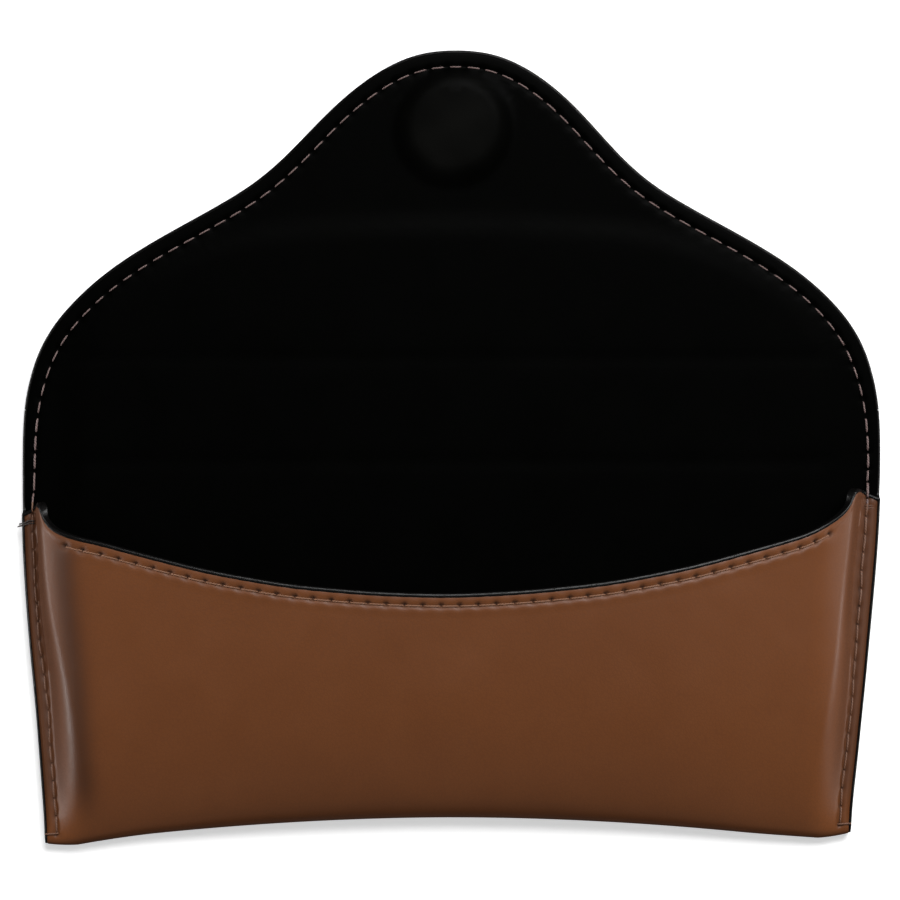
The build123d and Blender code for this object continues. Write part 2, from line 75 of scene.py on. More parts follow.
PITCH = 3.7
THREAD_R = 0.2
MM = 0.001

HALF = [
    (82.3, -3.0), (82.45, 0.0), (82.75, 6.0), (83.4, 13.4), (84.4, 24.5), (85.6, 37.0),
    (86.8, 50.4), (87.6, 62.0), (87.93, 72.0), (88.0, 80.0), (87.85, 86.0),
    (87.35, 91.1), (86.3, 96.0), (84.6, 100.95), (81.85, 105.9), (77.8, 110.8),
    (72.4, 115.75), (65.4, 120.7), (57.0, 125.6), (48.1, 130.55), (40.5, 135.4),
    (34.7, 140.4), (29.9, 145.4), (25.2, 150.3), (19.8, 155.1), (14.1, 158.9),
    (7.8, 161.5), (0.0, 162.4),
]
MOUTH_HALF = [
    (0.0, 51.2), (8.2, 51.4), (16.4, 51.85), (24.5, 52.55), (32.5, 53.45), (40.6, 54.8),
    (48.6, 56.35), (56.6, 58.3), (64.6, 60.4), (71.5, 62.3), (75.5, 63.55), (78.2, 64.7),
    (80.2, 65.9), (81.5, 67.2), (82.4, 68.8), (83.1, 70.2), (83.9, 70.7), (85.1, 70.1),
    (86.5, 69.2), (90.0, 68.4),
]
BOARD_HALF = [
    (72.0, 14.0), (74.5, 17.0), (75.5, 30.0), (76.6, 50.0), (77.2, 72.0), (77.4, 90.0),
    (76.8, 99.0), (74.5, 105.5), (69.5, 111.5), (61.0, 117.0), (50.0, 121.6),
    (38.0, 124.6), (20.0, 126.1), (0.0, 126.5),
]


def both_sides(half):
    return [(x, y) for x, y in half] + [(-x, y) for x, y in half[-2::-1]]


def natural_spline(points, n):
    """n points on the natural cubic spline through the given ones, by chord length"""
    p = np.array(points, float)
    t = np.concatenate([[0], np.cumsum(np.linalg.norm(np.diff(p, axis=0), axis=1))])
    h = np.diff(t)
    m = len(p)
    a = np.eye(m)
    r = np.zeros_like(p)
    for k in range(1, m - 1):
        a[k, k - 1], a[k, k], a[k, k + 1] = h[k - 1], 2 * (h[k - 1] + h[k]), h[k]
        r[k] = 6 * ((p[k + 1] - p[k]) / h[k] - (p[k] - p[k - 1]) / h[k - 1])
    c = np.linalg.solve(a, r)
    q = np.linspace(0, t[-1], n)
    k = np.clip(np.searchsorted(t, q) - 1, 0, m - 2)
    u, v, hk = (t[k + 1] - q)[:, None], (q - t[k])[:, None], h[k][:, None]
    return (
        c[k] * u**3 / (6 * hk) + c[k + 1] * v**3 / (6 * hk)
        + (p[k] / hk - c[k] * hk / 6) * u + (p[k + 1] / hk - c[k + 1] * hk / 6) * v
    )


def smooth(t):
    t = np.clip(t, 0.0, 1.0)
    return t * t * (3 - 2 * t)


def arc(points):
    return np.concatenate([[0], np.cumsum(np.linalg.norm(np.diff(points, axis=0), axis=1))])


def resample(points, count):
    s = arc(points)
    q = np.linspace(0, s[-1], count)
    return np.stack([np.interp(q, s, points[:, k]) for k in range(points.shape[1])], 1)


def plan_normals(points):
    """unit vectors to the left of the direction of travel"""
    d = np.gradient(points, axis=0)
    d /= np.linalg.norm(d, axis=1)[:, None]
    return np.stack([-d[:, 1], d[:, 0]], 1)


OUTLINE = natural_spline(both_sides(HALF), 4001)          # right side, tip, left side
OUT_RIGHT = OUTLINE[: 2001]
MOUTH = natural_spline([(-x, y) for x, y in MOUTH_HALF[:0:-1]] + MOUTH_HALF, 3001)


def half_outline(y):
    return np.interp(y, OUT_RIGHT[:, 1], OUT_RIGHT[:, 0])


def mouth_y(x):
    return np.interp(x, MOUTH[:, 0], MOUTH[:, 1])


def half_width(y):
    return W_BOTTOM + (W_MOUTH - W_BOTTOM) * y / Y_MOUTH


def fold_y(x):
    a = np.abs(x)
    return 4.9 * (1 - np.minimum(1.0, a / 76.0) ** 1.9) + np.where(a > 76, 0.6 * ((a - 76) / 6.3) ** 2, 0.0)


def inset(y):
    return 2.3 + 0.9 * smooth((y - 75) / 30)


# low-frequency unevenness, a fixed sum of sines, so that every run is the same
WAVES = [(0.037, 0.021, 0.3), (0.019, -0.046, 1.7), (-0.061, 0.033, 2.9), (0.083, 0.071, 4.1), (0.052, -0.101, 0.9)]


def waves(x, y, scale=1.0):
    out = 0.0
    for a, b, c in WAVES:
        out = out + np.sin((a * x + b * y) * 2 * math.pi * scale + c)
    return out / len(WAVES)


def front_height(x, y):
    """outer face of the front panel, above the rest plane"""
    up = np.maximum(y - fold_y(x), 0.0)
    w = half_width(y)
    d = w - np.abs(x) - FLANGE
    wall = 6.6 - 4.2 * smooth((y - 5) / 58)
    s = np.maximum(d, 0) / wall
    s = s * s / (s + 0.06)
    rise = 0.66 * (1 - (1 - np.minimum(1.0, s)) ** 2.4)     # the wall, then a softer shoulder
    rise += 0.34 * (1 - (1 - np.clip(d / 10.0, 0, 1)) ** 2)
    side = H_SIDE * (1 - np.exp(-up / 16.0))
    centre = H_CROWN * (1 - np.exp(-up / 19.0)) + H_FOLD * (1 - np.exp(-up / 1.6))
    crown = 1 - np.minimum(1.0, np.abs(x) / (w - FLANGE)) ** 2.4
    b = rise * (side + (centre - side) * crown)
    tip = np.where(up >= R_FOLD, R_FOLD, np.sqrt(np.maximum(0.0, R_FOLD**2 - (R_FOLD - np.minimum(up, R_FOLD)) ** 2)))
    return R_FOLD + tip + b


# The pouch doesn't lie quite square: the flap leans a little to the right, the mouth and
# the bottom corner sit higher on the right, and the side walls are pushed slightly left.
LEAN = natural_spline([
    (-6, -0.75), (4, -0.7), (16, -0.5), (32, -0.3), (55, -0.22), (78, 0.0), (98, 0.12),
    (114, 0.34), (130, 0.18), (145, 0.45), (158, 0.85), (168, 0.95),
], 300)


def lie(v):
    x, y = v[:, 0], v[:, 1]
    a, s = np.abs(x), np.sign(x)
    low = 0.0022 * x + s * 0.9 * np.clip((a - 60) / 22, 0, 1.3) ** 1.6
    top = 0.0095 * x + s * 0.75 * smooth((a - 70) / 13)
    w, fade = smooth(y / 52), 1 - smooth((y - 69.5) / 8.5)
    dx = np.interp(y, LEAN[:, 0], LEAN[:, 1])
    dx = dx - 0.8 * smooth((a - 68) / 12) * smooth((87.4 - a) / 5.2) * smooth((y - 30) / 25) * fade
    return np.column_stack([x + dx, y + low * (1 - w) + top * w * fade, v[:, 2]])


# ----------------------------------------------------------------------------------
# Mesh helpers
# ----------------------------------------------------------------------------------
def make_object(name, verts, faces, uv=None, sharp=50.0):
    """verts in millimetres, with Y from the bottom corners"""
    v = lie(np.array(verts, float))
    co = (v - np.array([0, YC, 0])) * MM
    me = bpy.data.meshes.new(name)
    me.from_pydata(co.tolist(), [], faces)
    me.update()
    if uv is not None:
        layer = me.uv_layers.new(name="surface")
        idx = np.zeros(len(me.loops), np.int32)
        me.loops.foreach_get("vertex_index", idx)
        layer.data.foreach_set("uv", (np.array(uv, float)[idx] / 100.0).astype(np.float32).ravel())
    me.polygons.foreach_set("use_smooth", np.ones(len(me.polygons), bool))
    me.set_sharp_from_angle(angle=math.radians(sharp))
    ob = bpy.data.objects.new(name, me)
    bpy.context.scene.collection.objects.link(ob)
    return ob


def mark(ob, name, values):
    """a number per vertex, read by the material"""
    layer = ob.data.attributes.new(name, "FLOAT", "POINT")
    layer.data.foreach_set("value", np.ascontiguousarray(values, np.float32).ravel())


def grid_faces(rows, cols, offset=0, flip=False):
    j, i = np.meshgrid(np.arange(rows - 1), np.arange(cols - 1), indexing="ij")
    a = (j * cols + i).ravel() + offset
    f = np.stack([a, a + 1, a + cols + 1, a + cols], 1)
    return (f[:, ::-1] if flip else f).tolist()


def grid_normals(p):
    """unit normals of a grid of points, rows by columns by 3"""
    du = np.gradient(p, axis=1)
    dv = np.gradient(p, axis=0)
    n = np.cross(du, dv)
    return n / np.maximum(np.linalg.norm(n, axis=2), 1e-9)[..., None]


def shell(name, outer, inner, uv, flip=False):
    """closed solid between two grids of the same size"""
    rows, cols = outer.shape[:2]
    n = rows * cols
    verts = np.concatenate([outer.reshape(-1, 3), inner.reshape(-1, 3)])
    faces = grid_faces(rows, cols, 0, flip) + grid_faces(rows, cols, n, not flip)
    ring = (
        [i for i in range(cols)]
        + [j * cols + cols - 1 for j in range(1, rows)]
        + [(rows - 1) * cols + i for i in range(cols - 2, -1, -1)]
        + [j * cols for j in range(rows - 2, 0, -1)]
    )
    for k in range(len(ring)):
        a, b = ring[k], ring[(k + 1) % len(ring)]
        faces.append([b, a, a + n, b + n] if not flip else [a, b, b + n, a + n])
    u2 = np.concatenate([uv.reshape(-1, 2), uv.reshape(-1, 2)])
    return make_object(name, verts, faces, u2)


# ----------------------------------------------------------------------------------
# The sewn rows
# ----------------------------------------------------------------------------------
def holes_along(points, pitch=PITCH):
    """needle holes spaced along a polyline, ends included"""
    s = arc(points)
    n = max(1, round(s[-1] / pitch))
    q = np.linspace(0, s[-1], n + 1)
    return np.stack([np.interp(q, s, points[:, k]) for k in range(points.shape[1])], 1)


_row = OUTLINE + plan_normals(OUTLINE) * inset(OUTLINE[:, 1])[:, None]
SEAM_ROW = _row[_row[:, 1] > 2.6]
SEAM_HOLES = holes_along(SEAM_ROW)                       # right side, tip, left side
_edge = MOUTH - plan_normals(MOUTH) * 2.15
MOUTH_ROW = _edge[np.abs(_edge[:, 0]) < 77.5]


def lift(points):
    return np.column_stack([points, front_height(points[:, 0], points[:, 1])])


MOUTH_HOLES = holes_along(lift(MOUTH_ROW))


def dimples(x, y, holes, depth, radius, reach=3.0):
    """soft dents at the needle holes, as depths"""
    out = np.zeros(np.shape(x))
    xs, ys = np.ravel(x), np.ravel(y)
    flat = out.ravel()
    for hx, hy in holes[:, :2]:
        near = np.nonzero((np.abs(xs - hx) < reach * radius) & (np.abs(ys - hy) < reach * radius))[0]
        if len(near):
            r2 = ((xs[near] - hx) ** 2 + (ys[near] - hy) ** 2) / radius**2
            flat[near] = np.maximum(flat[near], depth * np.exp(-r2))
    return flat.reshape(out.shape)


def row_distance(x, y, row, reach=6.0):
    """signed-less distance to a polyline, capped at reach"""
    xs, ys = np.ravel(x), np.ravel(y)
    best = np.full(xs.shape, reach, float)
    pts = resample(row, max(2, int(arc(row)[-1] / 0.4)))
    order = np.argsort(pts[:, 0])
    px = pts[order]
    lo = np.searchsorted(px[:, 0], xs - reach)
    hi = np.searchsorted(px[:, 0], xs + reach)
    for k in range(len(xs)):
        if hi[k] > lo[k]:
            q = px[lo[k]:hi[k]]
            d = (q[:, 0] - xs[k]) ** 2 + (q[:, 1] - ys[k]) ** 2
            m = d.min()
            if m < best[k] ** 2:
                best[k] = math.sqrt(m)
    return best.reshape(np.shape(x))


# ----------------------------------------------------------------------------------
# Lower half: front panel, bottom fold and back up to the middle of the spine
# ----------------------------------------------------------------------------------
def edge_rounding(d, r):
    """how far a surface falls away within r of a cut edge"""
    t = np.clip(d / r, 0, 1)
    return r * (1 - np.sqrt(np.maximum(0.0, 1 - (1 - t) ** 2)))


def column_shares(fine, side_step):
    """shares of the half width, closer together over the sewn flange and the side wall"""
    edge = [1.0, 0.9985, 0.9965, 0.994, 0.991, 0.988]
    x = 0.988 * 85.3
    while x > 70.5:
        x -= side_step
        edge.append(x / 85.3)
    n = int(round(edge[-1] * 85.3 / fine))
    mid = np.linspace(0, edge[-1], n + 1)[:-1]
    half = np.array(sorted(set(list(mid) + edge)))
    return np.concatenate([-half[:0:-1], half])


def lower_rows(u, near_mouth, between, back_step):
    """profile stations for every column: a (rows, cols, 3) array of x, y and z, with the counts of back and under rows
    """
    xf = u * half_outline(np.full_like(u, 1.0))
    yf = fold_y(xf)
    ym = np.zeros_like(u)
    y = np.full_like(u, 60.0)
    for _ in range(30):
        y = 0.5 * y + 0.5 * mouth_y(u * half_outline(y))
    ym = y
    start = np.array([0.0, 0.03, 0.1, 0.22, 0.4, 0.65, 0.95, 1.3, 1.7, 2.2, 2.8, 3.6])
    rows_y = [yf + s for s in start]
    lo, hi = yf + start[-1], ym - near_mouth[-1]
    for f in np.linspace(0, 1, between + 2)[1:-1]:
        rows_y.append(lo + (hi - lo) * f)
    rows_y += [ym - a for a in near_mouth[::-1]]
    front = []
    for r in rows_y:
        x = u * half_outline(r)
        front.append(np.stack([x, r, front_height(x, r)], 1))
    under = []
    for deg in (202.5, 225, 247.5):
        a = math.radians(deg)
        r = yf + R_FOLD + R_FOLD * math.cos(a)
        under.append(np.stack([xf, r, np.full_like(u, R_FOLD + R_FOLD * math.sin(a))], 1))
    stops = sorted(set(
        [round(v, 3) for v in np.arange(8.0, SEAM_Y, back_step)]
        + [round(CREASE_1 + v, 3) for v in np.arange(-2.4, 2.41, 0.4)] + [SEAM_Y]
    ))
    back = [np.stack([xf, yf + R_FOLD, np.zeros_like(u)], 1)]
    for s in stops:
        x = u * half_outline(np.full_like(u, s))
        back.append(np.stack([x, np.full_like(u, s), np.zeros_like(u)], 1))
    profile = back[::-1] + under[::-1] + front        # from the spine, round the fold, to the mouth
    return np.array(profile), len(back), len(under)


def smooth_grid(p, times, first, last):
    """evens out the profile direction between two rows"""
    q = p.copy()
    for _ in range(times):
        q[first:last] = q[first:last] * 0.5 + 0.25 * (q[first - 1:last - 1] + q[first + 1:last + 1])
    return q


NEAR_MOUTH = np.array([0.0, 0.12, 0.28, 0.5, 0.8, 1.15, 1.5, 1.75, 1.95, 2.15, 2.4, 2.7, 3.1, 3.6, 4.3])
U = column_shares(0.5, 0.30)
BASE, N_BACK, N_UNDER = lower_rows(U, NEAR_MOUTH, 68, 1.6)
ROWS = BASE.shape[0]
FRONT_0 = N_BACK + N_UNDER
NORMAL = grid_normals(BASE)
if NORMAL[-6, len(U) // 2, 2] < 0:
    NORMAL = -NORMAL
UV = np.zeros(BASE.shape[:2] + (2,))
UV[..., 0] = BASE[..., 0]
_len = np.concatenate([np.zeros((1, len(U))), np.cumsum(np.linalg.norm(np.diff(BASE, axis=0), axis=2), axis=0)])
UV[..., 1] = SEAM_Y - _len


def magnet_swell(x, y, cx, cy, height, r_in, r_out):
    r = np.hypot(x - cx, y - cy)
    return height * smooth((r_out - r) / (r_out - r_in))


def front_detail(x, y):
    """how far the leather of the front panel stands off its plain form"""
    up = y - fold_y(x)
    to_mouth = mouth_y(x) - y
    h = magnet_swell(x, y, 0.0, FRONT_MAG_Y - 1.5, 0.30, 2.0, 13.5)
    h = h + 0.12 * waves(x, y, 0.30) * smooth(up / 12) * smooth(to_mouth / 10)
    # the sewn mouth: a channel, and a soft roll on each side of it
    sewn = smooth((79.5 - np.abs(x)) / 2.5)
    h = h - 0.12 * np.exp(-(((to_mouth - 2.2) / 0.42) ** 2)) * sewn
    h = h + 0.10 * np.exp(-(((to_mouth - 1.05) / 0.6) ** 2)) + 0.10 * np.exp(-(((to_mouth - 3.2) / 0.6) ** 2)) * sewn
    return h


def build_lower_leather():
    x, y = BASE[FRONT_0:, :, 0], BASE[FRONT_0:, :, 1]
    off = np.zeros(BASE.shape[:2])
    off[FRONT_0:] = front_detail(x, y)
    punched = MOUTH_HOLES + np.array([0.0, 0.2, 0.0])
    off[FRONT_0:] -= dimples(x, y, punched, 0.50, 0.50)
    # the pull of each stitch ruffles the leather between the row and the edge
    to_mouth = mouth_y(x) - y
    s_row = np.interp(x, MOUTH_ROW[:, 0], arc(lift(MOUTH_ROW)))
    ruffle = np.cos(2 * math.pi * s_row / (arc(lift(MOUTH_ROW))[-1] / (len(MOUTH_HOLES) - 1)))
    sewn = np.abs(x) < 77.5
    off[FRONT_0:] -= 0.07 * ruffle * np.exp(-(((to_mouth - 1.6) / 0.8) ** 2)) * sewn
    off[FRONT_0:] -= 0.03 * ruffle * np.exp(-(((to_mouth - 3.0) / 0.55) ** 2)) * sewn
    # side seams
    side = SEAM_HOLES[SEAM_HOLES[:, 1] < SEAM_Y + 2]
    d_side = half_outline(y) - np.abs(x)
    off[FRONT_0:] -= dimples(x, y, side, 0.34, 0.5) + 0.20 * np.exp(-(((d_side - 2.3) / 0.5) ** 2)) * smooth((y - 1.5) / 2)
    bx, by = BASE[:N_BACK, :, 0], BASE[:N_BACK, :, 1]
    d_back = half_outline(by) - np.abs(bx)
    off[:N_BACK] -= 0.30 * np.exp(-(((d_back - inset(by)) / 0.5) ** 2)) * smooth((by - 1.5) / 2)
    off[:N_BACK] -= dimples(bx, by, side, 0.2, 0.6)
    # crease scored lightly in the back
    off[:N_BACK] -= 0.10 * np.exp(-(((by - CREASE_1) / 0.7) ** 2))
    d_all = np.where(np.abs(BASE[..., 0]) > 0, half_outline(BASE[..., 1]) - np.abs(BASE[..., 0]), 90)
    off -= edge_rounding(np.maximum(d_all, 0), 0.45)
    # the flange is pressed down towards its cut edge
    off[FRONT_0:] -= 0.46 * np.clip(1 - d_side / 1.6, 0, 1) ** 1.6 * smooth((y - 1.0) / 3)
    off[FRONT_0:] -= edge_rounding(np.maximum(to_mouth, 0), 0.4)
    outer = BASE + NORMAL * off[..., None]
    inner = BASE - NORMAL * (T_LEATHER - 0.01)
    ob = shell("outer_leather_lower", outer, inner, UV)
    # painted shade: dark spots at the needle holes of the mouth row and the side seams
    dark = np.zeros(BASE.shape[:2])
    dark[FRONT_0:] = np.maximum(dimples(x * 0.85, y, punched * np.array([0.85, 1, 1]), 1.0, 0.44), dimples(x, y, side, 0.75, 0.38))
    dark[:N_BACK] = dimples(bx, by, side, 0.75, 0.38)
    # painted shade along the bottom fold, where it turns under away from the light: near black on the turn, fading up
    # the front and the back
    turn = np.concatenate([np.zeros(N_BACK), [0.9, 1.0, 1.0], [1.0, 0.92, 0.62, 0.30, 0.10]])
    dark[:len(turn)] = np.maximum(dark[:len(turn)], turn[:, None])
    dark[N_BACK - 3:N_BACK] = np.maximum(dark[N_BACK - 3:N_BACK], np.array([0.05, 0.3, 0.6])[:, None])
    mark(ob, "hole_fold_shade", np.concatenate([dark.ravel(), np.zeros(dark.size)]))
    dull = np.zeros(BASE.shape[:2])
    inside = half_width(y) - FLANGE - np.abs(x)
    low = smooth((y - 2) / 12)
    # the finish is flatter on the stretched side walls and the sewn edges
    dull[FRONT_0:] = np.maximum(dimples(x, y, punched, 1.0, 1.1, 2.0), 0.44 * smooth((4.6 - inside) / 2.8) * low)
    mark(ob, "dull", np.concatenate([dull.ravel(), np.zeros(dull.size)]))
    # painted shade: a darker band beside the left wall where its shoulder turns from the light; the leather is also
    # made darker and greyer over both side walls and flanges
    wall_shade = np.zeros(BASE.shape[:2])
    wall_shade[FRONT_0:] = 1.1 * np.exp(-(((inside - 6.1) / 2.9) ** 2)) * (x < 0) * low * smooth((to_mouth + 2) / 7)
    wall_shade[FRONT_0:] += (0.45 + 0.15 * (x < 0)) * smooth((3.0 - inside) / 2.0) * low + 0.22 * smooth((-0.2 - inside) / 0.9) * low
    mark(ob, "wall_shade", np.concatenate([wall_shade.ravel(), np.zeros(wall_shade.size)]))
    return ob, outer


LOWER_LEATHER, LOWER_OUTER = build_lower_leather()

# The lining follows the same form, one leather thickness in
U2 = column_shares(1.3, 0.55)
BASE2, N_BACK2, N_UNDER2 = lower_rows(U2, np.array([0.0, 0.15, 0.4, 0.8, 1.4, 1.9, 2.5, 3.5, 4.5]), 36, 1.6)
FRONT_2 = N_BACK2 + N_UNDER2
NORMAL2 = grid_normals(BASE2)
if NORMAL2[-6, len(U2) // 2, 2] < 0:
    NORMAL2 = -NORMAL2
UV2 = np.zeros(BASE2.shape[:2] + (2,))
UV2[..., 0] = BASE2[..., 0]
UV2[..., 1] = SEAM_Y - np.concatenate([np.zeros((1, len(U2))), np.cumsum(np.linalg.norm(np.diff(BASE2, axis=0), axis=2), axis=0)])

BOARD = natural_spline(both_sides(BOARD_HALF), 1601)
BOARD_N = plan_normals(BOARD)


def board_inside(x, y):
    """distance inside the stiffener's outline, negative outside, capped at 4 mm"""
    xs, ys = np.ravel(x), np.ravel(y)
    out = np.empty(xs.shape)
    pts = BOARD[::4]
    nrm = BOARD_N[::4]
    for k0 in range(0, len(xs), 4000):
        dx = xs[k0:k0 + 4000, None] - pts[None, :, 0]
        dy = ys[k0:k0 + 4000, None] - pts[None, :, 1]
        d2 = dx**2 + dy**2
        m = d2.argmin(1)
        r = np.arange(len(m))
        side = dx[r, m] * nrm[m, 0] + dy[r, m] * nrm[m, 1]
        out[k0:k0 + 4000] = np.sqrt(d2[r, m]) * np.sign(side)
    out = np.minimum(out, ys - 14.0 + 0 * out)
    return np.clip(out, -5, 5).reshape(np.shape(x))


def lining_relief(x, y):
    """height of the lining over the bare laminate on the back, spine and flap"""
    d = board_inside(x, y)
    h = 0.85 * T_BOARD * smooth((d + 4.0) / 7.0)
    for c in (CREASE_1, CREASE_2):                      # the board is parted at the creases
        h = h * (1 - 0.18 * np.exp(-(((y - c) / 1.8) ** 2)))
    r = np.hypot(x, y - FLAP_MAG_Y)
    bump = 1.58 * smooth((12.8 - r) / 4.2) + 0.30 * np.clip(1 - (r / 10.0) ** 2, 0, 1)
    return np.maximum(h, bump) + 0.05 * waves(x, y, 0.45) * smooth((np.minimum(d, 4) + 4) / 7)


def build_lower_lining():
    x, y = BASE2[FRONT_2:, :, 0], BASE2[FRONT_2:, :, 1]
    room = np.zeros(BASE2.shape[:2])
    r = np.hypot(x, y - FRONT_MAG_Y)
    room[FRONT_2:] = 2.75 * smooth((14.6 - r) / 4.0)
    outer = BASE2 - NORMAL2 * (T_LEATHER + 0.01 + room)[..., None]
    depth = np.full(BASE2.shape[:2], T_LAM)
    depth[N_BACK2:FRONT_2 + 6] = T_LAM - 0.02
    inner = BASE2 - NORMAL2 * (depth + room)[..., None]
    bx, by = BASE2[:N_BACK2, :, 0], BASE2[:N_BACK2, :, 1]
    d_back = half_outline(by) - np.abs(bx)
    z = T_LAM + lining_relief(bx, by)
    z = z - edge_rounding(np.maximum(d_back, 0), 0.55) * smooth((by - 66) / 3)
    side = SEAM_HOLES[(SEAM_HOLES[:, 1] < SEAM_Y + 2) & (SEAM_HOLES[:, 1] > 68)]
    z = z - dimples(bx, by, side, 0.25, 0.6)
    z = z - (0.12 * np.exp(-(((d_back - inset(by)) / 0.5) ** 2))) * smooth((by - 68) / 3)
    inner[:N_BACK2, :, 2] = z
    inner[:N_BACK2, :, :2] = BASE2[:N_BACK2, :, :2]
    outer[:N_BACK2, :, 2] = np.minimum(outer[:N_BACK2, :, 2], z - 0.3)
    return shell("lining_lower", outer, inner, UV2, flip=False), inner


LOWER_LINING, LOWER_INNER = build_lower_lining()


# ----------------------------------------------------------------------------------
# Upper half: the rest of the spine and the flap, from rings that follow the cut edge
# ----------------------------------------------------------------------------------
RINGS = np.array([0, 0.1, 0.24, 0.42, 0.65, 0.95, 1.35, 1.85, 2.35, 2.75, 3.05, 3.35, 3.7, 4.3, 5.4, 7.0])


def upper_plan():
    k0 = int(np.argmax(OUTLINE[:, 1] >= SEAM_Y))
    k1 = len(OUTLINE) - 1 - int(np.argmax(OUTLINE[::-1, 1] >= SEAM_Y))
    edge = OUTLINE[k0:k1 + 1]
    nrm = plan_normals(OUTLINE)[k0:k1 + 1]
    length = arc(edge)[-1]
    n = int(length / (PITCH / 6)) + 1
    q = np.linspace(0, length, n)
    s = arc(edge)
    e = np.stack([np.interp(q, s, edge[:, i]) for i in (0, 1)], 1)
    m = np.stack([np.interp(q, s, nrm[:, i]) for i in (0, 1)], 1)
    m /= np.linalg.norm(m, axis=1)[:, None]
    pts, dist = [], []
    for d in RINGS:
        r = e + m * d
        for end, sign in ((0, 1), (-1, -1)):
            gap = r[end, 1] - SEAM_Y
            along_s = q if end == 0 else q[-1] - q
            r[:, 1] -= gap * (1 - smooth(along_s / 9.0))
        pts.append(r)
        dist.append(np.full(n, d))
    rings = np.array(pts)
    last = rings[-1]
    nr = len(RINGS)
    seam_x = np.linspace(last[-1, 0], last[0, 0], int((last[0, 0] - last[-1, 0]) / 2.4) + 1)[1:-1]
    seam = np.column_stack([seam_x, np.full(len(seam_x), SEAM_Y)])
    loop = np.concatenate([last, seam])                   # closed boundary of the middle

    mid = []
    ys = [SEAM_Y + 1.6 + 2.3 * k for k in range(40)]
    for j, y in enumerate(ys):
        for x in np.arange(-90, 90.1, 2.4) + (1.2 if j % 2 else 0):
            mid.append((x, y))
    mid = np.array(mid)
    r_mag = np.hypot(mid[:, 0], mid[:, 1] - FLAP_MAG_Y)
    b = board_inside(mid[:, 0], mid[:, 1])
    keep = (r_mag > 14.6) & (np.abs(mid[:, 1] - CREASE_2) > 3.4) & ~((b > -4.5) & (b < 3.2) & (mid[:, 1] > CREASE_2))
    mid = mid[keep]
    extra = []
    for y in CREASE_2 + np.arange(-2.4, 2.41, 0.4):
        extra += [(x, y) for x in np.arange(-88, 88.1, 2.4)]
    lines = resample(BOARD, int(arc(BOARD)[-1] / 1.5))
    ln = plan_normals(lines)
    for d in (-3.9, -3.0, -2.2, -1.4, -0.6, 0.2, 1.0, 1.8, 2.6):
        for p in lines + ln * d:
            if p[1] > CREASE_2 + 3.2:
                extra.append(tuple(p))
    for r in (0.01, 2.4, 4.6, 6.6, 8.0, 9.0, 9.8, 10.6, 11.4, 12.2, 13.0, 13.9):
        for k in range(1 if r < 1 else 56):
            a = 2 * math.pi * k / 56
            extra.append((r * math.cos(a), FLAP_MAG_Y + r * math.sin(a)))
    mid = np.concatenate([mid, np.array(extra)])
    # keep what lies inside the loop, clear of it
    x0, y0 = loop[:, 0], loop[:, 1]
    x1, y1 = np.roll(x0, -1), np.roll(y0, -1)
    inside = np.zeros(len(mid), bool)
    near = np.full(len(mid), 99.0)
    for k in range(len(loop)):
        cross = ((y0[k] > mid[:, 1]) != (y1[k] > mid[:, 1]))
        with np.errstate(divide="ignore", invalid="ignore"):
            at = (x1[k] - x0[k]) * (mid[:, 1] - y0[k]) / (y1[k] - y0[k]) + x0[k]
        inside ^= cross & (mid[:, 0] < at)
        near = np.minimum(near, np.hypot(mid[:, 0] - x0[k], mid[:, 1] - y0[k]))
    mid = mid[inside & (near > 0.75) & (mid[:, 1] > SEAM_Y + 0.9)]

    coords = [Vector(p) for p in np.concatenate([loop, mid]).tolist()]
    out = delaunay_2d_cdt(coords, [], [list(range(len(loop)))], 1, 1e-6)
    out_co, out_faces, orig = out[0], out[2], out[3]
    base = nr * n
    flat = rings.reshape(-1, 2)
    verts = [tuple(p) for p in flat]
    dd = [d for d in np.array(dist).ravel()]
    index = {}
    for k, src in enumerate(orig):
        src = [i for i in src]
        if src and min(src) < n:
            index[k] = (nr - 1) * n + min(src)
        else:
            index[k] = len(verts)
            verts.append((out_co[k][0], out_co[k][1]))
            dd.append(8.5)
    faces = grid_faces(nr, n)
    for f in out_faces:
        faces.append([index[i] for i in f])
    verts = np.array(verts)
    # all faces counter-clockwise seen from above
    good = []
    for f in faces:
        p = verts[f]
        area = 0.5 * np.sum(p[:, 0] * np.roll(p[:, 1], -1) - np.roll(p[:, 0], -1) * p[:, 1])
        good.append(f if area > 0 else f[::-1])
    # boundary loop from the edges that belong to one face
    count = {}
    for f in good:
        for i in range(len(f)):
            a, c = f[i], f[(i + 1) % len(f)]
            count[(a, c)] = count.get((a, c), 0) + 1
    border = [e2 for e2 in count if (e2[1], e2[0]) not in count]
    return verts, good, border, np.array(dd)


PLAN, PLAN_FACES, PLAN_BORDER, PLAN_D = upper_plan()


def plan_shell(name, low, high, uv):
    n = len(PLAN)
    verts = np.concatenate([np.column_stack([PLAN, high]), np.column_stack([PLAN, low])])
    faces = [list(f) for f in PLAN_FACES] + [[i + n for i in f[::-1]] for f in PLAN_FACES]
    faces += [[b, a, a + n, b + n] for a, b in PLAN_BORDER]
    return make_object(name, verts, faces, np.concatenate([uv, uv]))


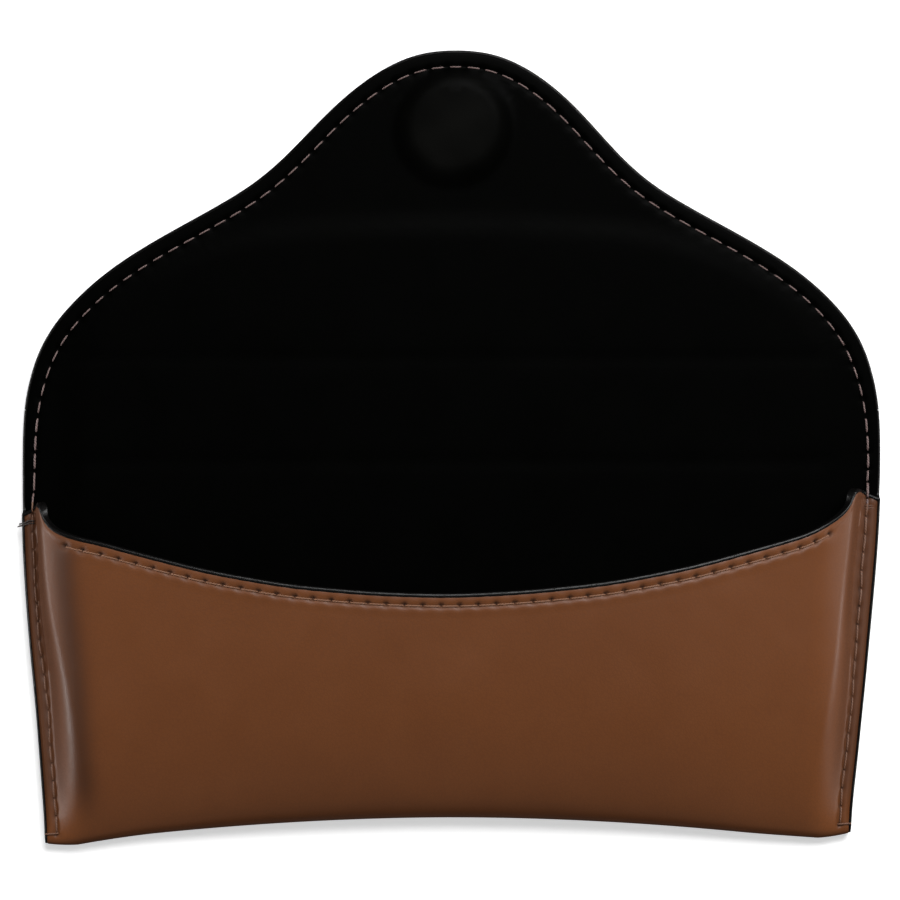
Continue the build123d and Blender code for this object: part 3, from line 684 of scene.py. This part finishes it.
def build_upper():
    x, y = PLAN[:, 0], PLAN[:, 1]
    holes = SEAM_HOLES[SEAM_HOLES[:, 1] > SEAM_Y - 3]
    low = np.zeros(len(PLAN)) + edge_rounding(PLAN_D, 0.45)
    channel = np.exp(-(((PLAN_D - inset(y)) / 0.5) ** 2))
    low += 0.30 * channel + dimples(x, y, holes, 0.2, 0.6)
    low += 0.10 * np.exp(-(((y - CREASE_2) / 0.7) ** 2))
    uv = np.column_stack([x, y])
    leather = plan_shell("outer_leather_upper", low, np.full(len(PLAN), T_LEATHER - 0.01), uv)
    # painted shade: dark spots at the needle holes on the underside
    mark(leather, "hole_fold_shade", np.concatenate([np.zeros(len(PLAN)), dimples(x, y, holes, 0.75, 0.38)]))
    high = T_LAM + lining_relief(x, y) - edge_rounding(PLAN_D, 0.55)
    high -= 0.14 * channel + dimples(x, y, holes, 0.34, 0.55)
    # outside the sewn row the lining rolls over towards the edge
    high -= 0.16 * np.clip(1 - PLAN_D / 2.6, 0, 1) ** 2
    under = np.maximum(T_LEATHER + 0.01, high - T_LINING)
    under = np.minimum(under, high - 0.25)
    lining = plan_shell("lining_upper", under, high, uv)
    # painted sheen: the lining is made paler over the magnet bump, standing in for the light the bump catches
    bump_sheen = smooth((13.5 - np.hypot(x, y - FLAP_MAG_Y + 0.8)) / 8.5) * (1 + 0.5 * waves(x, y, 1.2))
    mark(lining, "bump_sheen", np.concatenate([bump_sheen, np.zeros(len(PLAN))]))
    return leather, lining


UPPER_LEATHER, UPPER_LINING = build_upper()


# ----------------------------------------------------------------------------------
# Black coating on the cut edges
# ----------------------------------------------------------------------------------
def strip(name, base, outward, up, low, high, lip=0.32, proud=0.2, radius=0.55):
    """coating round a cut edge: base points, outward and up directions, and the heights it covers"""
    n = len(base)
    lips = np.broadcast_to(lip, n)
    prof = []
    for k in range(n):
        t = high[k] - low[k]
        rc = max(0.02, min(radius, 0.5 * t))
        lip = lips[k]
        row = []
        for deg in (96, 75, 55, 35, 15, 0):
            a = math.radians(deg)
            row.append((-lip + (lip + proud) * max(0.0, math.cos(a)) - (0.06 if deg > 90 else 0),
                        high[k] + 0.03 - rc + rc * math.sin(a) - (0.10 if deg > 90 else 0)))
        for deg in (0, -15, -35, -55, -75, -96):
            a = math.radians(deg)
            row.append((-lip + (lip + proud) * max(0.0, math.cos(a)) - (0.06 if deg < -90 else 0),
                        low[k] - 0.03 + rc + rc * math.sin(a) + (0.10 if deg < -90 else 0)))
        prof.append(row)
    m = len(prof[0])
    verts = []
    for k in range(n):
        for e, z in prof[k]:
            verts.append(base[k] + outward[k] * e + up[k] * z)
    faces = []
    for k in range(n - 1):
        for i in range(m):
            j = (i + 1) % m
            faces.append([k * m + i, k * m + j, (k + 1) * m + j, (k + 1) * m + i])
    faces.append(list(range(m))[::-1])
    faces.append([(n - 1) * m + i for i in range(m)])
    s = arc(np.array(base))
    uv = [(s[k], 2.0 * i) for k in range(n) for i in range(m)]
    return make_object(name, verts, faces, uv)


def outline_strip(name, y0, y1, side, z_range, step=0.8):
    """coating along one side of the outline between two heights, or round the tip if side is 0"""
    if side == 0:
        pts = OUTLINE[OUTLINE[:, 1] >= y0 - 1e-6]
    else:
        pts = OUT_RIGHT[(OUT_RIGHT[:, 1] >= y0 - 1e-6) & (OUT_RIGHT[:, 1] <= y1 + 1e-6)] * np.array([side, 1])
        if side < 0:
            pts = pts[::-1]
    pts = resample(pts, int(arc(pts)[-1] / step) + 2)
    inward = plan_normals(pts)
    base = np.column_stack([pts, np.zeros(len(pts))])
    outward = np.column_stack([-inward, np.zeros(len(pts))])
    up = np.tile([0.0, 0.0, 1.0], (len(pts), 1))
    low, high = z_range(pts[:, 1])
    return strip(name, base, outward, up, low, high)


def seam_heights(y):
    rise = np.sqrt(np.clip(1 - (1 - np.clip((y - 0.55) / R_FOLD, 0, 1)) ** 2, 0, 1))
    low = R_FOLD - R_FOLD * rise
    high = R_FOLD + R_FOLD * rise
    high = high - (T_SEAM - T_LAM) * smooth((y - 68.85) / 0.5)
    return low, high


RIGHT_PAINT = outline_strip("edge_paint_right", 0.75, SEAM_Y, 1, seam_heights, 0.5)
LEFT_PAINT = outline_strip("edge_paint_left", 0.75, SEAM_Y, -1, seam_heights, 0.5)
FLAP_PAINT = outline_strip("edge_paint_flap", SEAM_Y, 200, 0,
                           lambda y: (np.zeros(len(y)), np.full(len(y), T_LAM)), 0.7)


def build_mouth_paint():
    edge = BASE[-1]
    up = NORMAL[-1]
    out = BASE[-1] - BASE[-3]
    out /= np.linalg.norm(out, axis=1)[:, None]
    n = len(edge)
    return strip("edge_paint_mouth", edge, out, up, np.full(n, -T_LAM), np.full(n, 0.09), 0.42 - 0.10 * smooth((np.abs(edge[:, 0]) - 72) / 9), 0.38, 0.32)


MOUTH_PAINT = build_mouth_paint()


# ----------------------------------------------------------------------------------
# Sewing thread: every visible run is its own twisted length between two needle holes
# ----------------------------------------------------------------------------------
def thread(name, runs, radius=THREAD_R, around=7, along_n=13, power=5):
    """runs: (start, end, normal, arch, sink) in millimetres"""
    verts, faces, uv = [], [], []
    for a, b, nrm, arch, sink in runs:
        a, b, nrm = np.array(a, float), np.array(b, float), np.array(nrm, float)
        nrm = nrm / np.linalg.norm(nrm)
        side = np.cross(nrm, b - a)
        side /= np.linalg.norm(side)
        long = np.linalg.norm(b - a)
        k0 = len(verts)
        for i in range(along_n):
            t = 0.5 - 0.5 * math.cos(math.pi * i / (along_n - 1))
            t = 0.06 + 0.88 * t
            h = arch - (arch + sink) * abs(2 * t - 1) ** power
            c = a + (b - a) * t + nrm * h
            f = (b - a) / long + nrm * (-(arch + sink) * power * abs(2 * t - 1) ** (power - 1) * (1 if t > 0.5 else -1) * 2 / long)
            f /= np.linalg.norm(f)
            up = np.cross(f, side)
            up = up if up @ nrm > 0 else -up
            for j in range(around):
                w = 2 * math.pi * j / around
                twist = 1 + 0.13 * math.cos(3 * (w - 2.1 * t * long))
                r = radius * twist * (1 - 0.35 * abs(2 * t - 1) ** 6)
                verts.append(c + side * r * math.cos(w) + up * r * math.sin(w) * 0.85)
                uv.append((t * long, 1.3 * j / around))
        for i in range(along_n - 1):
            for j in range(around):
                q = (j + 1) % around
                faces.append([k0 + i * around + j, k0 + i * around + q, k0 + (i + 1) * around + q, k0 + (i + 1) * around + j])
        faces.append([k0 + j for j in range(around)][::-1])
        faces.append([k0 + (along_n - 1) * around + j for j in range(around)])
    return make_object(name, verts, faces, uv, 80)


def front_normal(x, y, h=0.4):
    gx = (front_height(x + h, y) - front_height(x - h, y)) / (2 * h)
    gy = (front_height(x, y + h) - front_height(x, y - h)) / (2 * h)
    n = np.array([-gx, -gy, 1.0])
    return n / np.linalg.norm(n)


def wander(k, amount):
    """small sideways drift of the k-th stitch, the same each time"""
    return amount * (math.sin(2.1 * k) + math.sin(5.3 * k + 1.0)) / 2


def seam_runs(y_min, y_max, side):
    """thread runs of the long seam on the top and the underside"""
    top, under = [], []
    for k, (a, b) in enumerate(zip(SEAM_HOLES[:-1], SEAM_HOLES[1:])):
        m = (a + b) / 2
        if not (y_min <= m[1] < y_max) or (side and side * m[0] < 0):
            continue
        lo, hi = min(a[1], b[1]), max(a[1], b[1])
        if hi < FLANGE_END - 0.3:
            z = T_SEAM - 0.20
            top.append(((a[0] + wander(k, 0.2), a[1], z), (b[0] + wander(k + 1, 0.2), b[1], z), (0, 0, 1), 0.16, 0.40))
        elif lo > FLANGE_END + 0.1:
            z = T_LAM - 0.14
            top.append(((a[0], a[1], z), (b[0], b[1], z), (0, 0, 1), 0.16, 1.15))
        else:                                              # one run steps down off the flange
            (p, zp), (q, zq) = ((a, T_SEAM), (b, T_LAM)) if a[1] < b[1] else ((b, T_SEAM), (a, T_LAM))
            top.append(((p[0], p[1], zp - 0.1), (q[0], q[1], zq - 0.1), (0, 0.35, 0.94), 1.05, 0.25))
        under.append(((a[0], a[1], 0.34), (b[0], b[1], 0.34), (0, 0, -1), 0.10, 0.12))
    return top + under


def build_threads():
    runs = []
    for a, b in zip(MOUTH_HOLES[:-1], MOUTH_HOLES[1:]):
        m = (a + b) / 2
        n = front_normal(m[0], m[1])
        runs.append((a - n * 0.22, b - n * 0.22, n, 0.20, 0.42))
        runs.append((a - n * (T_LAM - 0.05), b - n * (T_LAM - 0.05), -n, 0.12, 0.2))
    mouth = thread("thread_mouth", runs)
    sides = []
    for side, word in ((1, "right"), (-1, "left")):
        low = seam_runs(0, SEAM_Y, side)
        x, y = side * 80.15, 2.75                          # the corner is locked by one run across
        low.append(((x - 0.5 * side, y, T_SEAM - 0.02), (x + 2.6 * side, y, T_SEAM - 0.02), (0, 0, 1), 0.15, 0.2))
        sides.append(thread("thread_seam_" + word, low))
    upper = thread("thread_flap", seam_runs(SEAM_Y, 300, 0), 0.155, power=3)
    tacks = []
    for side, word in ((1, "right"), (-1, "left")):
        bars = []
        low = 0.0 if side < 0 else 0.12                        # the right one is pulled in flush
        for k, yy in enumerate((66.9, 67.4)):
            bars.append(((side * 84.9, yy, T_SEAM - 0.06 - low), (side * 87.1, yy + 0.1, T_SEAM - 0.25 - low), (0, 0, 1), 0.20, 0.25))
        if side < 0:                                       # cut ends of thread stand out past the edge
            bars.append(((-86.3, 66.9, T_SEAM + 0.1), (-89.0, 66.2, T_SEAM - 1.1), (-0.45, 0, 0.9), 0.35, 0.1))
            bars.append(((-86.5, 67.3, T_SEAM + 0.1), (-88.6, 66.7, T_SEAM - 1.3), (-0.45, 0, 0.9), 0.45, 0.1))
        tacks.append(thread("bar_tack_" + word, bars, 0.17))
    return mouth, sides, upper, tacks


THREAD_MOUTH, THREAD_SIDES, THREAD_UPPER, TACKS = build_threads()


# ----------------------------------------------------------------------------------
# Materials
# ----------------------------------------------------------------------------------
class Nodes:
    def __init__(self, name):
        self.mat = bpy.data.materials.new(name)
        self.mat.use_nodes = True
        self.t = self.mat.node_tree
        self.bsdf = self.t.nodes["Principled BSDF"]

    def add(self, kind, inputs=None, **settings):
        n = self.t.nodes.new(kind)
        for k, v in settings.items():
            setattr(n, k, v)
        for k, v in (inputs or {}).items():
            self.put(n.inputs[k], v)
        return n

    def put(self, socket, v):
        if isinstance(v, bpy.types.NodeSocket):
            self.t.links.new(v, socket)
        else:
            socket.default_value = v

    def math(self, op, a, b=0.0, clamp=False):
        n = self.add("ShaderNodeMath", operation=op, use_clamp=clamp)
        self.put(n.inputs[0], a)
        self.put(n.inputs[1], b)
        return n.outputs[0]

    def mm(self, scale=1.0, stretch=(1, 1)):
        """surface position in millimetres, times scale"""
        uv = self.add("ShaderNodeUVMap", uv_map="surface")
        m = self.add("ShaderNodeMapping", {"Vector": uv.outputs[0],
                     "Scale": (100 * scale * stretch[0], 100 * scale * stretch[1], 1)})
        return m.outputs[0]

    def noise(self, vec, scale, detail=3.0, rough=0.55, distortion=0.0):
        return self.add("ShaderNodeTexNoise", {"Vector": vec, "Scale": scale, "Detail": detail,
                        "Roughness": rough, "Distortion": distortion}).outputs[0]

    def ramp(self, fac, stops, linear=True):
        n = self.add("ShaderNodeValToRGB", {"Fac": fac})
        r = n.color_ramp
        while len(r.elements) < len(stops):
            r.elements.new(0.5)
        for e, (p, c) in zip(r.elements, stops):
            e.position = p
            e.color = (*c, 1.0) if len(c) == 3 else c
        return n.outputs[0]

    def remap(self, v, a, b, c, d):
        n = self.add("ShaderNodeMapRange", {"Value": v, "From Min": a, "From Max": b, "To Min": c, "To Max": d})
        return n.outputs[0]

    def mix(self, fac, a, b, blend="MIX"):
        n = self.add("ShaderNodeMix", data_type="RGBA", blend_type=blend)
        self.put(n.inputs[0], fac)
        self.put(n.inputs[6], a)
        self.put(n.inputs[7], b)
        return n.outputs[2]

    def bump(self, height, strength, distance, normal=None):
        n = self.add("ShaderNodeBump", {"Height": height, "Strength": strength, "Distance": distance})
        if normal is not None:
            self.put(n.inputs["Normal"], normal)
        return n.outputs[0]

    def out(self, **k):
        for name, v in k.items():
            self.put(self.bsdf.inputs[name.replace("_", " ")], v)
        return self.mat


def brown_leather():
    g = Nodes("brown_leather")
    v = g.mm()
    # fine plated grain: small irregular cells with soft valleys, and pores
    warp = g.noise(v, 0.9, 2.0)
    wv = g.add("ShaderNodeVectorMath", {0: v, 1: g.add("ShaderNodeCombineXYZ", {0: warp, 1: warp}).outputs[0]},
               operation="ADD").outputs[0]
    cells = g.add("ShaderNodeTexVoronoi", {"Vector": wv, "Scale": 1.5, "Randomness": 1.0},
                  feature="DISTANCE_TO_EDGE").outputs["Distance"]
    valley = g.remap(cells, 0.0, 0.16, 0.0, 1.0)
    pores = g.noise(v, 3.6, 2.0, 0.6)
    grain = g.math("ADD", g.math("MULTIPLY", valley, 0.62), g.math("MULTIPLY", pores, 0.5))
    broad = g.noise(v, 0.022, 2.0, 0.5)
    patch = g.noise(v, 0.11, 3.0, 0.55, 0.3)
    tone = g.math("ADD", g.math("MULTIPLY", broad, 0.6), g.math("MULTIPLY", patch, 0.4))
    colour = g.ramp(tone, [(0.30, (0.112, 0.0355, 0.0098)), (0.50, (0.121, 0.0385, 0.0106)), (0.70, (0.130, 0.0418, 0.0115))])
    colour = g.mix(g.remap(valley, 0.0, 1.0, 0.16, 0.0), colour, (0.050, 0.016, 0.006, 1), "MIX")
    colour = g.mix(g.remap(pores, 0.35, 0.25, 0.0, 0.14), colour, (0.040, 0.014, 0.006, 1), "MIX")
    # painted shade: needle holes and the bottom fold darkened towards near black
    hole_fold_shade = g.add("ShaderNodeAttribute", attribute_name="hole_fold_shade").outputs["Fac"]
    colour = g.mix(g.math("MULTIPLY", hole_fold_shade, 0.93, True), colour, (0.0045, 0.0022, 0.0015, 1), "MIX")
    # painted shade beside the left wall, and a darker, greyer tone over the side walls and flanges
    wall_shade = g.add("ShaderNodeAttribute", attribute_name="wall_shade").outputs["Fac"]
    colour = g.mix(g.math("MULTIPLY", wall_shade, 0.66, True), colour, (0.030, 0.0105, 0.0042, 1), "MIX")
    rough = g.math("ADD", g.remap(grain, 0.2, 1.0, 0.42, 0.34), g.remap(patch, 0.3, 0.7, -0.02, 0.03))
    rough = g.math("ADD", rough, g.math("MULTIPLY", hole_fold_shade, 0.35), True)
    dull = g.add("ShaderNodeAttribute", attribute_name="dull").outputs["Fac"]
    rough = g.math("ADD", rough, g.math("MULTIPLY", dull, 0.26), True)
    nrm = g.bump(grain, 0.10, 0.00008)
    nrm = g.bump(g.noise(v, 0.11, 2.0), 0.06, 0.0006, nrm)
    return g.out(Base_Color=colour, Roughness=rough, Normal=nrm, Specular_IOR_Level=0.34)


def black_lining():
    g = Nodes("black_lining")
    v = g.mm()
    fibre = g.noise(g.mm(1.0, (1.0, 0.35)), 5.5, 3.0, 0.7)
    nap = g.noise(v, 0.09, 3.0, 0.55, 0.6)
    mott = g.noise(v, 1.4, 2.0, 0.6)
    colour = g.ramp(g.math("ADD", g.math("MULTIPLY", fibre, 0.6), g.math("MULTIPLY", mott, 0.4)),
                    [(0.3, (0.0001, 0.0002, 0.0001)), (0.7, (0.0004, 0.0004, 0.0003))])
    rough = g.remap(nap, 0.3, 0.7, 0.40, 0.50)
    # painted sheen: paler lining over the flap magnet bump
    bump_sheen = g.add("ShaderNodeAttribute", attribute_name="bump_sheen").outputs["Fac"]
    colour = g.mix(g.math("MULTIPLY", bump_sheen, 0.55, True), colour, (0.0042, 0.0042, 0.0037, 1), "MIX")
    nrm = g.bump(g.math("ADD", fibre, g.math("MULTIPLY", mott, 0.6)), 0.22, 0.00008)
    return g.out(Base_Color=colour, Roughness=rough, Normal=nrm, Specular_IOR_Level=0.015)


def edge_coating():
    g = Nodes("edge_coating")
    v = g.mm()
    lump = g.noise(v, 0.7, 3.0, 0.6)
    speck = g.noise(v, 4.0, 2.0, 0.6)
    colour = g.ramp(lump, [(0.3, (0.0012, 0.0011, 0.0011)), (0.7, (0.0030, 0.0027, 0.0026))])
    rough = g.remap(speck, 0.3, 0.7, 0.22, 0.32)
    nrm = g.bump(g.math("ADD", lump, g.math("MULTIPLY", speck, 0.3)), 0.30, 0.00010)
    return g.out(Base_Color=colour, Roughness=rough, Normal=nrm, Specular_IOR_Level=0.17)


def sewing_thread(name, dark, light):
    g = Nodes(name)
    uv = g.mm()
    fray = g.noise(g.mm(1.0, (6.0, 1.6)), 2.2, 3.0, 0.6)
    strand = g.add("ShaderNodeTexWave", {"Vector": uv, "Scale": 1.1, "Distortion": 1.2, "Detail": 2.0, "Detail Scale": 2.0},
                   wave_type="BANDS", bands_direction="DIAGONAL").outputs["Fac"]
    f = g.math("ADD", g.math("MULTIPLY", strand, 0.6), g.math("MULTIPLY", fray, 0.4))
    colour = g.ramp(f, [(0.2, dark), (0.75, light)])
    nrm = g.bump(f, 0.5, 0.00006)
    return g.out(Base_Color=colour, Roughness=g.remap(fray, 0.3, 0.7, 0.5, 0.7), Normal=nrm)


def object_mm(g, scale=1.0):
    t = g.add("ShaderNodeTexCoord")
    return g.add("ShaderNodeMapping", {"Vector": t.outputs["Object"],
                 "Scale": (1000 * scale, 1000 * scale, 1000 * scale)}).outputs[0]


def fibre_board():
    g = Nodes("fibre_board")
    v = object_mm(g)
    n = g.noise(v, 1.2, 4.0, 0.7)
    return g.out(Base_Color=g.ramp(n, [(0.3, (0.22, 0.20, 0.17)), (0.7, (0.36, 0.33, 0.28))]),
                 Roughness=g.remap(n, 0.3, 0.7, 0.8, 0.95), Normal=g.bump(n, 0.4, 0.0001))


def nickel():
    g = Nodes("nickel_plate")
    v = object_mm(g)
    n = g.noise(v, 1.5, 3.0)
    return g.out(Base_Color=g.ramp(n, [(0.3, (0.50, 0.49, 0.46)), (0.7, (0.60, 0.59, 0.56))]), Metallic=1.0,
                 Roughness=g.remap(n, 0.3, 0.7, 0.22, 0.36), Normal=g.bump(n, 0.1, 0.00005))


def patch_tape():
    g = Nodes("patch_tape")
    v = object_mm(g)
    n = g.noise(v, 3.0, 4.0, 0.7)
    return g.out(Base_Color=g.ramp(n, [(0.3, (0.012, 0.012, 0.012)), (0.7, (0.03, 0.03, 0.03))]),
                 Roughness=g.remap(n, 0.3, 0.7, 0.8, 0.95), Normal=g.bump(n, 0.4, 0.0001))


LEATHER, LINING, COATING = brown_leather(), black_lining(), edge_coating()
THREAD_ON_BROWN = sewing_thread("thread_on_leather", (0.080, 0.031, 0.013), (0.215, 0.095, 0.046))
THREAD_IN_SEAMS = sewing_thread("thread_in_seams", (0.055, 0.021, 0.010), (0.155, 0.068, 0.035))
THREAD_ON_BLACK = sewing_thread("thread_on_lining", (0.048, 0.029, 0.027), (0.190, 0.122, 0.114))
THREAD_AT_TACKS = sewing_thread("thread_at_tacks", (0.006, 0.004, 0.003), (0.030, 0.016, 0.011))
THREAD_TONE = sewing_thread("thread_toned", (0.045, 0.016, 0.007), (0.110, 0.040, 0.016))
BOARD_MAT, NICKEL, TAPE = fibre_board(), nickel(), patch_tape()


def dress(ob, mat):
    ob.data.materials.clear()
    ob.data.materials.append(mat)


for ob in (LOWER_LEATHER, UPPER_LEATHER):
    dress(ob, LEATHER)
for ob in (LOWER_LINING, UPPER_LINING):
    dress(ob, LINING)
for ob in (RIGHT_PAINT, LEFT_PAINT, FLAP_PAINT, MOUTH_PAINT):
    dress(ob, COATING)
dress(THREAD_MOUTH, THREAD_ON_BROWN)
for ob in THREAD_SIDES:                                    # past the flange the row runs on the lining
    dress(ob, THREAD_IN_SEAMS)
    ob.data.materials.append(THREAD_ON_BLACK)
    for f in ob.data.polygons:
        f.material_index = int(f.center.y > (FLANGE_END - YC) * MM)
dress(TACKS[0], THREAD_TONE)
dress(TACKS[1], THREAD_AT_TACKS)
dress(THREAD_UPPER, THREAD_ON_BLACK)

for node, mat in (("back_board", BOARD_MAT), ("spine_board", BOARD_MAT), ("flap_board", BOARD_MAT),
                  ("front_magnet", NICKEL), ("flap_magnet", NICKEL),
                  ("front_magnet_patch", TAPE), ("flap_magnet_patch", TAPE)):
    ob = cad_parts[node]
    ob.data.materials.clear()
    ob.data.materials.append(mat)

# ----------------------------------------------------------------------------------
# Transforms baked into the meshes; the mouth pieces ride on the pouch
# ----------------------------------------------------------------------------------
def at(y):
    return (0.0, (y - YC) * MM, 0.0)


for ob in (LOWER_LEATHER, LOWER_LINING, RIGHT_PAINT, LEFT_PAINT, *THREAD_SIDES):
    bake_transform(ob)
for ob in (UPPER_LEATHER, UPPER_LINING, FLAP_PAINT, THREAD_UPPER):
    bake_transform(ob)
for ob in (MOUTH_PAINT, THREAD_MOUTH, *TACKS):
    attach(ob, "pouch")

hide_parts("pouch_leather")
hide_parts("flap_leather", "spine_leather")
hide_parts("pocket_lining")
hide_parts("flap_lining", "spine_lining")
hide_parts("right_edge_paint")
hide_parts("left_edge_paint")
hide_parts("flap_edge_paint", "spine_edge_paint")
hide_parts("mouth_edge_paint")
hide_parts("mouth_stitching")
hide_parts("right_seam_stitching")
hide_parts("left_seam_stitching")
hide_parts("flap_stitching", "spine_stitching")
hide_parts("right_bar_tack")
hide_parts("left_bar_tack")


def half_area(ob):
    return sum(p.area for p in ob.data.polygons) / 2


print("areas", [round(half_area(o), 5) for o in (LOWER_LEATHER, LOWER_LINING, UPPER_LEATHER, UPPER_LINING)])

# ----------------------------------------------------------------------------------
# Floor, light and camera
# ----------------------------------------------------------------------------------
def floor():
    me = bpy.data.meshes.new("floor")
    s = 1.6
    me.from_pydata([(-s, -s, 0), (s, -s, 0), (s, s, 0), (-s, s, 0)], [], [(0, 1, 2, 3)])
    ob = bpy.data.objects.new("floor", me)
    bpy.context.scene.collection.objects.link(ob)
    g = Nodes("pale_floor")
    t = g.add("ShaderNodeTexCoord")
    n = g.noise(t.outputs["Object"], 3.0, 2.0)
    g.out(Base_Color=g.ramp(n, [(0.3, (0.90, 0.90, 0.90)), (0.7, (0.92, 0.92, 0.92))]), Roughness=0.9, Specular_IOR_Level=0.1)
    g.bsdf.inputs["Emission Color"].default_value = (1, 1, 1, 1)
    # a light table: shadows stay faint by the case, and the far floor runs into the white wall
    away = g.add("ShaderNodeVectorMath")
    away.operation = "LENGTH"
    g.mat.node_tree.links.new(t.outputs["Object"], away.inputs[0])
    glow = g.add("ShaderNodeMapRange")
    g.mat.node_tree.links.new(away.outputs["Value"], glow.inputs["Value"])
    for socket, value in (("From Min", 0.30), ("From Max", 1.10), ("To Min", 0.42), ("To Max", 1.0)):
        glow.inputs[socket].default_value = value
    g.mat.node_tree.links.new(glow.outputs["Result"], g.bsdf.inputs["Emission Strength"])
    me.materials.append(g.mat)
    ob.location.z = -0.00015
    ob.visible_diffuse = False         # the object is lit from above only, not by its own backdrop
    ob.visible_glossy = False
    ob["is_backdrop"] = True
    return ob


floor()


def area_light(name, where, target, size, power, colour=(1, 1, 1), shape="RECTANGLE"):
    l = bpy.data.lights.new(name, "AREA")
    l.shape = shape
    l.size, l.size_y = size
    l.energy = power
    l.color = colour
    ob = bpy.data.objects.new(name, l)
    bpy.context.scene.collection.objects.link(ob)
    ob.location = where
    ob.rotation_mode = "QUATERNION"
    ob.rotation_quaternion = (Vector(target) - Vector(where)).to_track_quat("-Z", "Y")
    return ob


area_light("key_top", (0.30, 0.84, 1.22), (0, 0, 0), (0.9, 0.6), 25.8)
strips = [area_light("side_left", (-0.92, 0.05, 0.11), (0, 0.0, 0.005), (0.8, 0.18), 6.7)]
strips.append(area_light("side_right", (0.92, 0.20, 0.10), (0, 0.0, 0.005), (0.8, 0.16), 6.6))
fill = area_light("fill_front", (0.0, -0.95, 0.75), (0, -0.05, 0), (1.4, 0.4), 2.5)
fill.visible_glossy = False

# the side strips are flagged off the black lining, whose nap has no gloss at a low angle
lit = bpy.data.collections.new("lit_by_strips")
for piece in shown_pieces():
    if piece not in (LOWER_LINING, UPPER_LINING):
        lit.objects.link(piece)
for strip_light in strips:
    strip_light.light_linking.receiver_collection = lit

# a pale studio: dim overhead, darker in a ring, brighter towards the horizon
world = bpy.data.worlds.new("studio")
bpy.context.scene.world = world
world.use_nodes = True
wt = world.node_tree
coord = wt.nodes.new("ShaderNodeTexCoord")
split = wt.nodes.new("ShaderNodeSeparateXYZ")
wt.links.new(coord.outputs["Generated"], split.inputs[0])
shade = wt.nodes.new("ShaderNodeValToRGB")
wt.links.new(split.outputs[2], shade.inputs[0])
STOPS = [(0.0, 0.05), (0.03, 0.26), (0.25, 0.22), (0.45, 0.10), (0.80, 0.08), (0.93, 0.20), (1.0, 0.22)]
while len(shade.color_ramp.elements) < len(STOPS):
    shade.color_ramp.elements.new(0.5)
for element, (place, level) in zip(shade.color_ramp.elements, STOPS):
    element.position = place
    element.color = (level, level, level, 1)
wt.links.new(shade.outputs[0], wt.nodes["Background"].inputs[0])
wt.nodes["Background"].inputs[1].default_value = 1.0
# what is seen behind the floor's edge is a plain pale wall
wall = wt.nodes.new("ShaderNodeBackground")
wall.inputs[0].default_value = (1.0, 1.0, 1.0, 1)
seen = wt.nodes.new("ShaderNodeLightPath")
either = wt.nodes.new("ShaderNodeMixShader")
wt.links.new(seen.outputs["Is Camera Ray"], either.inputs[0])
wt.links.new(wt.nodes["Background"].outputs[0], either.inputs[1])
wt.links.new(wall.outputs[0], either.inputs[2])
wt.links.new(either.outputs[0], wt.nodes["World Output"].inputs[0])

cam_data = bpy.data.cameras.new("camera")
cam = bpy.data.objects.new("camera", cam_data)
bpy.context.scene.collection.objects.link(cam)
cam_data.sensor_width = 36
cam_data.lens = 134.7
cam.location = (-0.0003, -0.0009, 0.694)
cam.rotation_euler = (0, 0, 0)
bpy.context.scene.camera = cam
bpy.context.scene.view_settings.view_transform = "Standard"
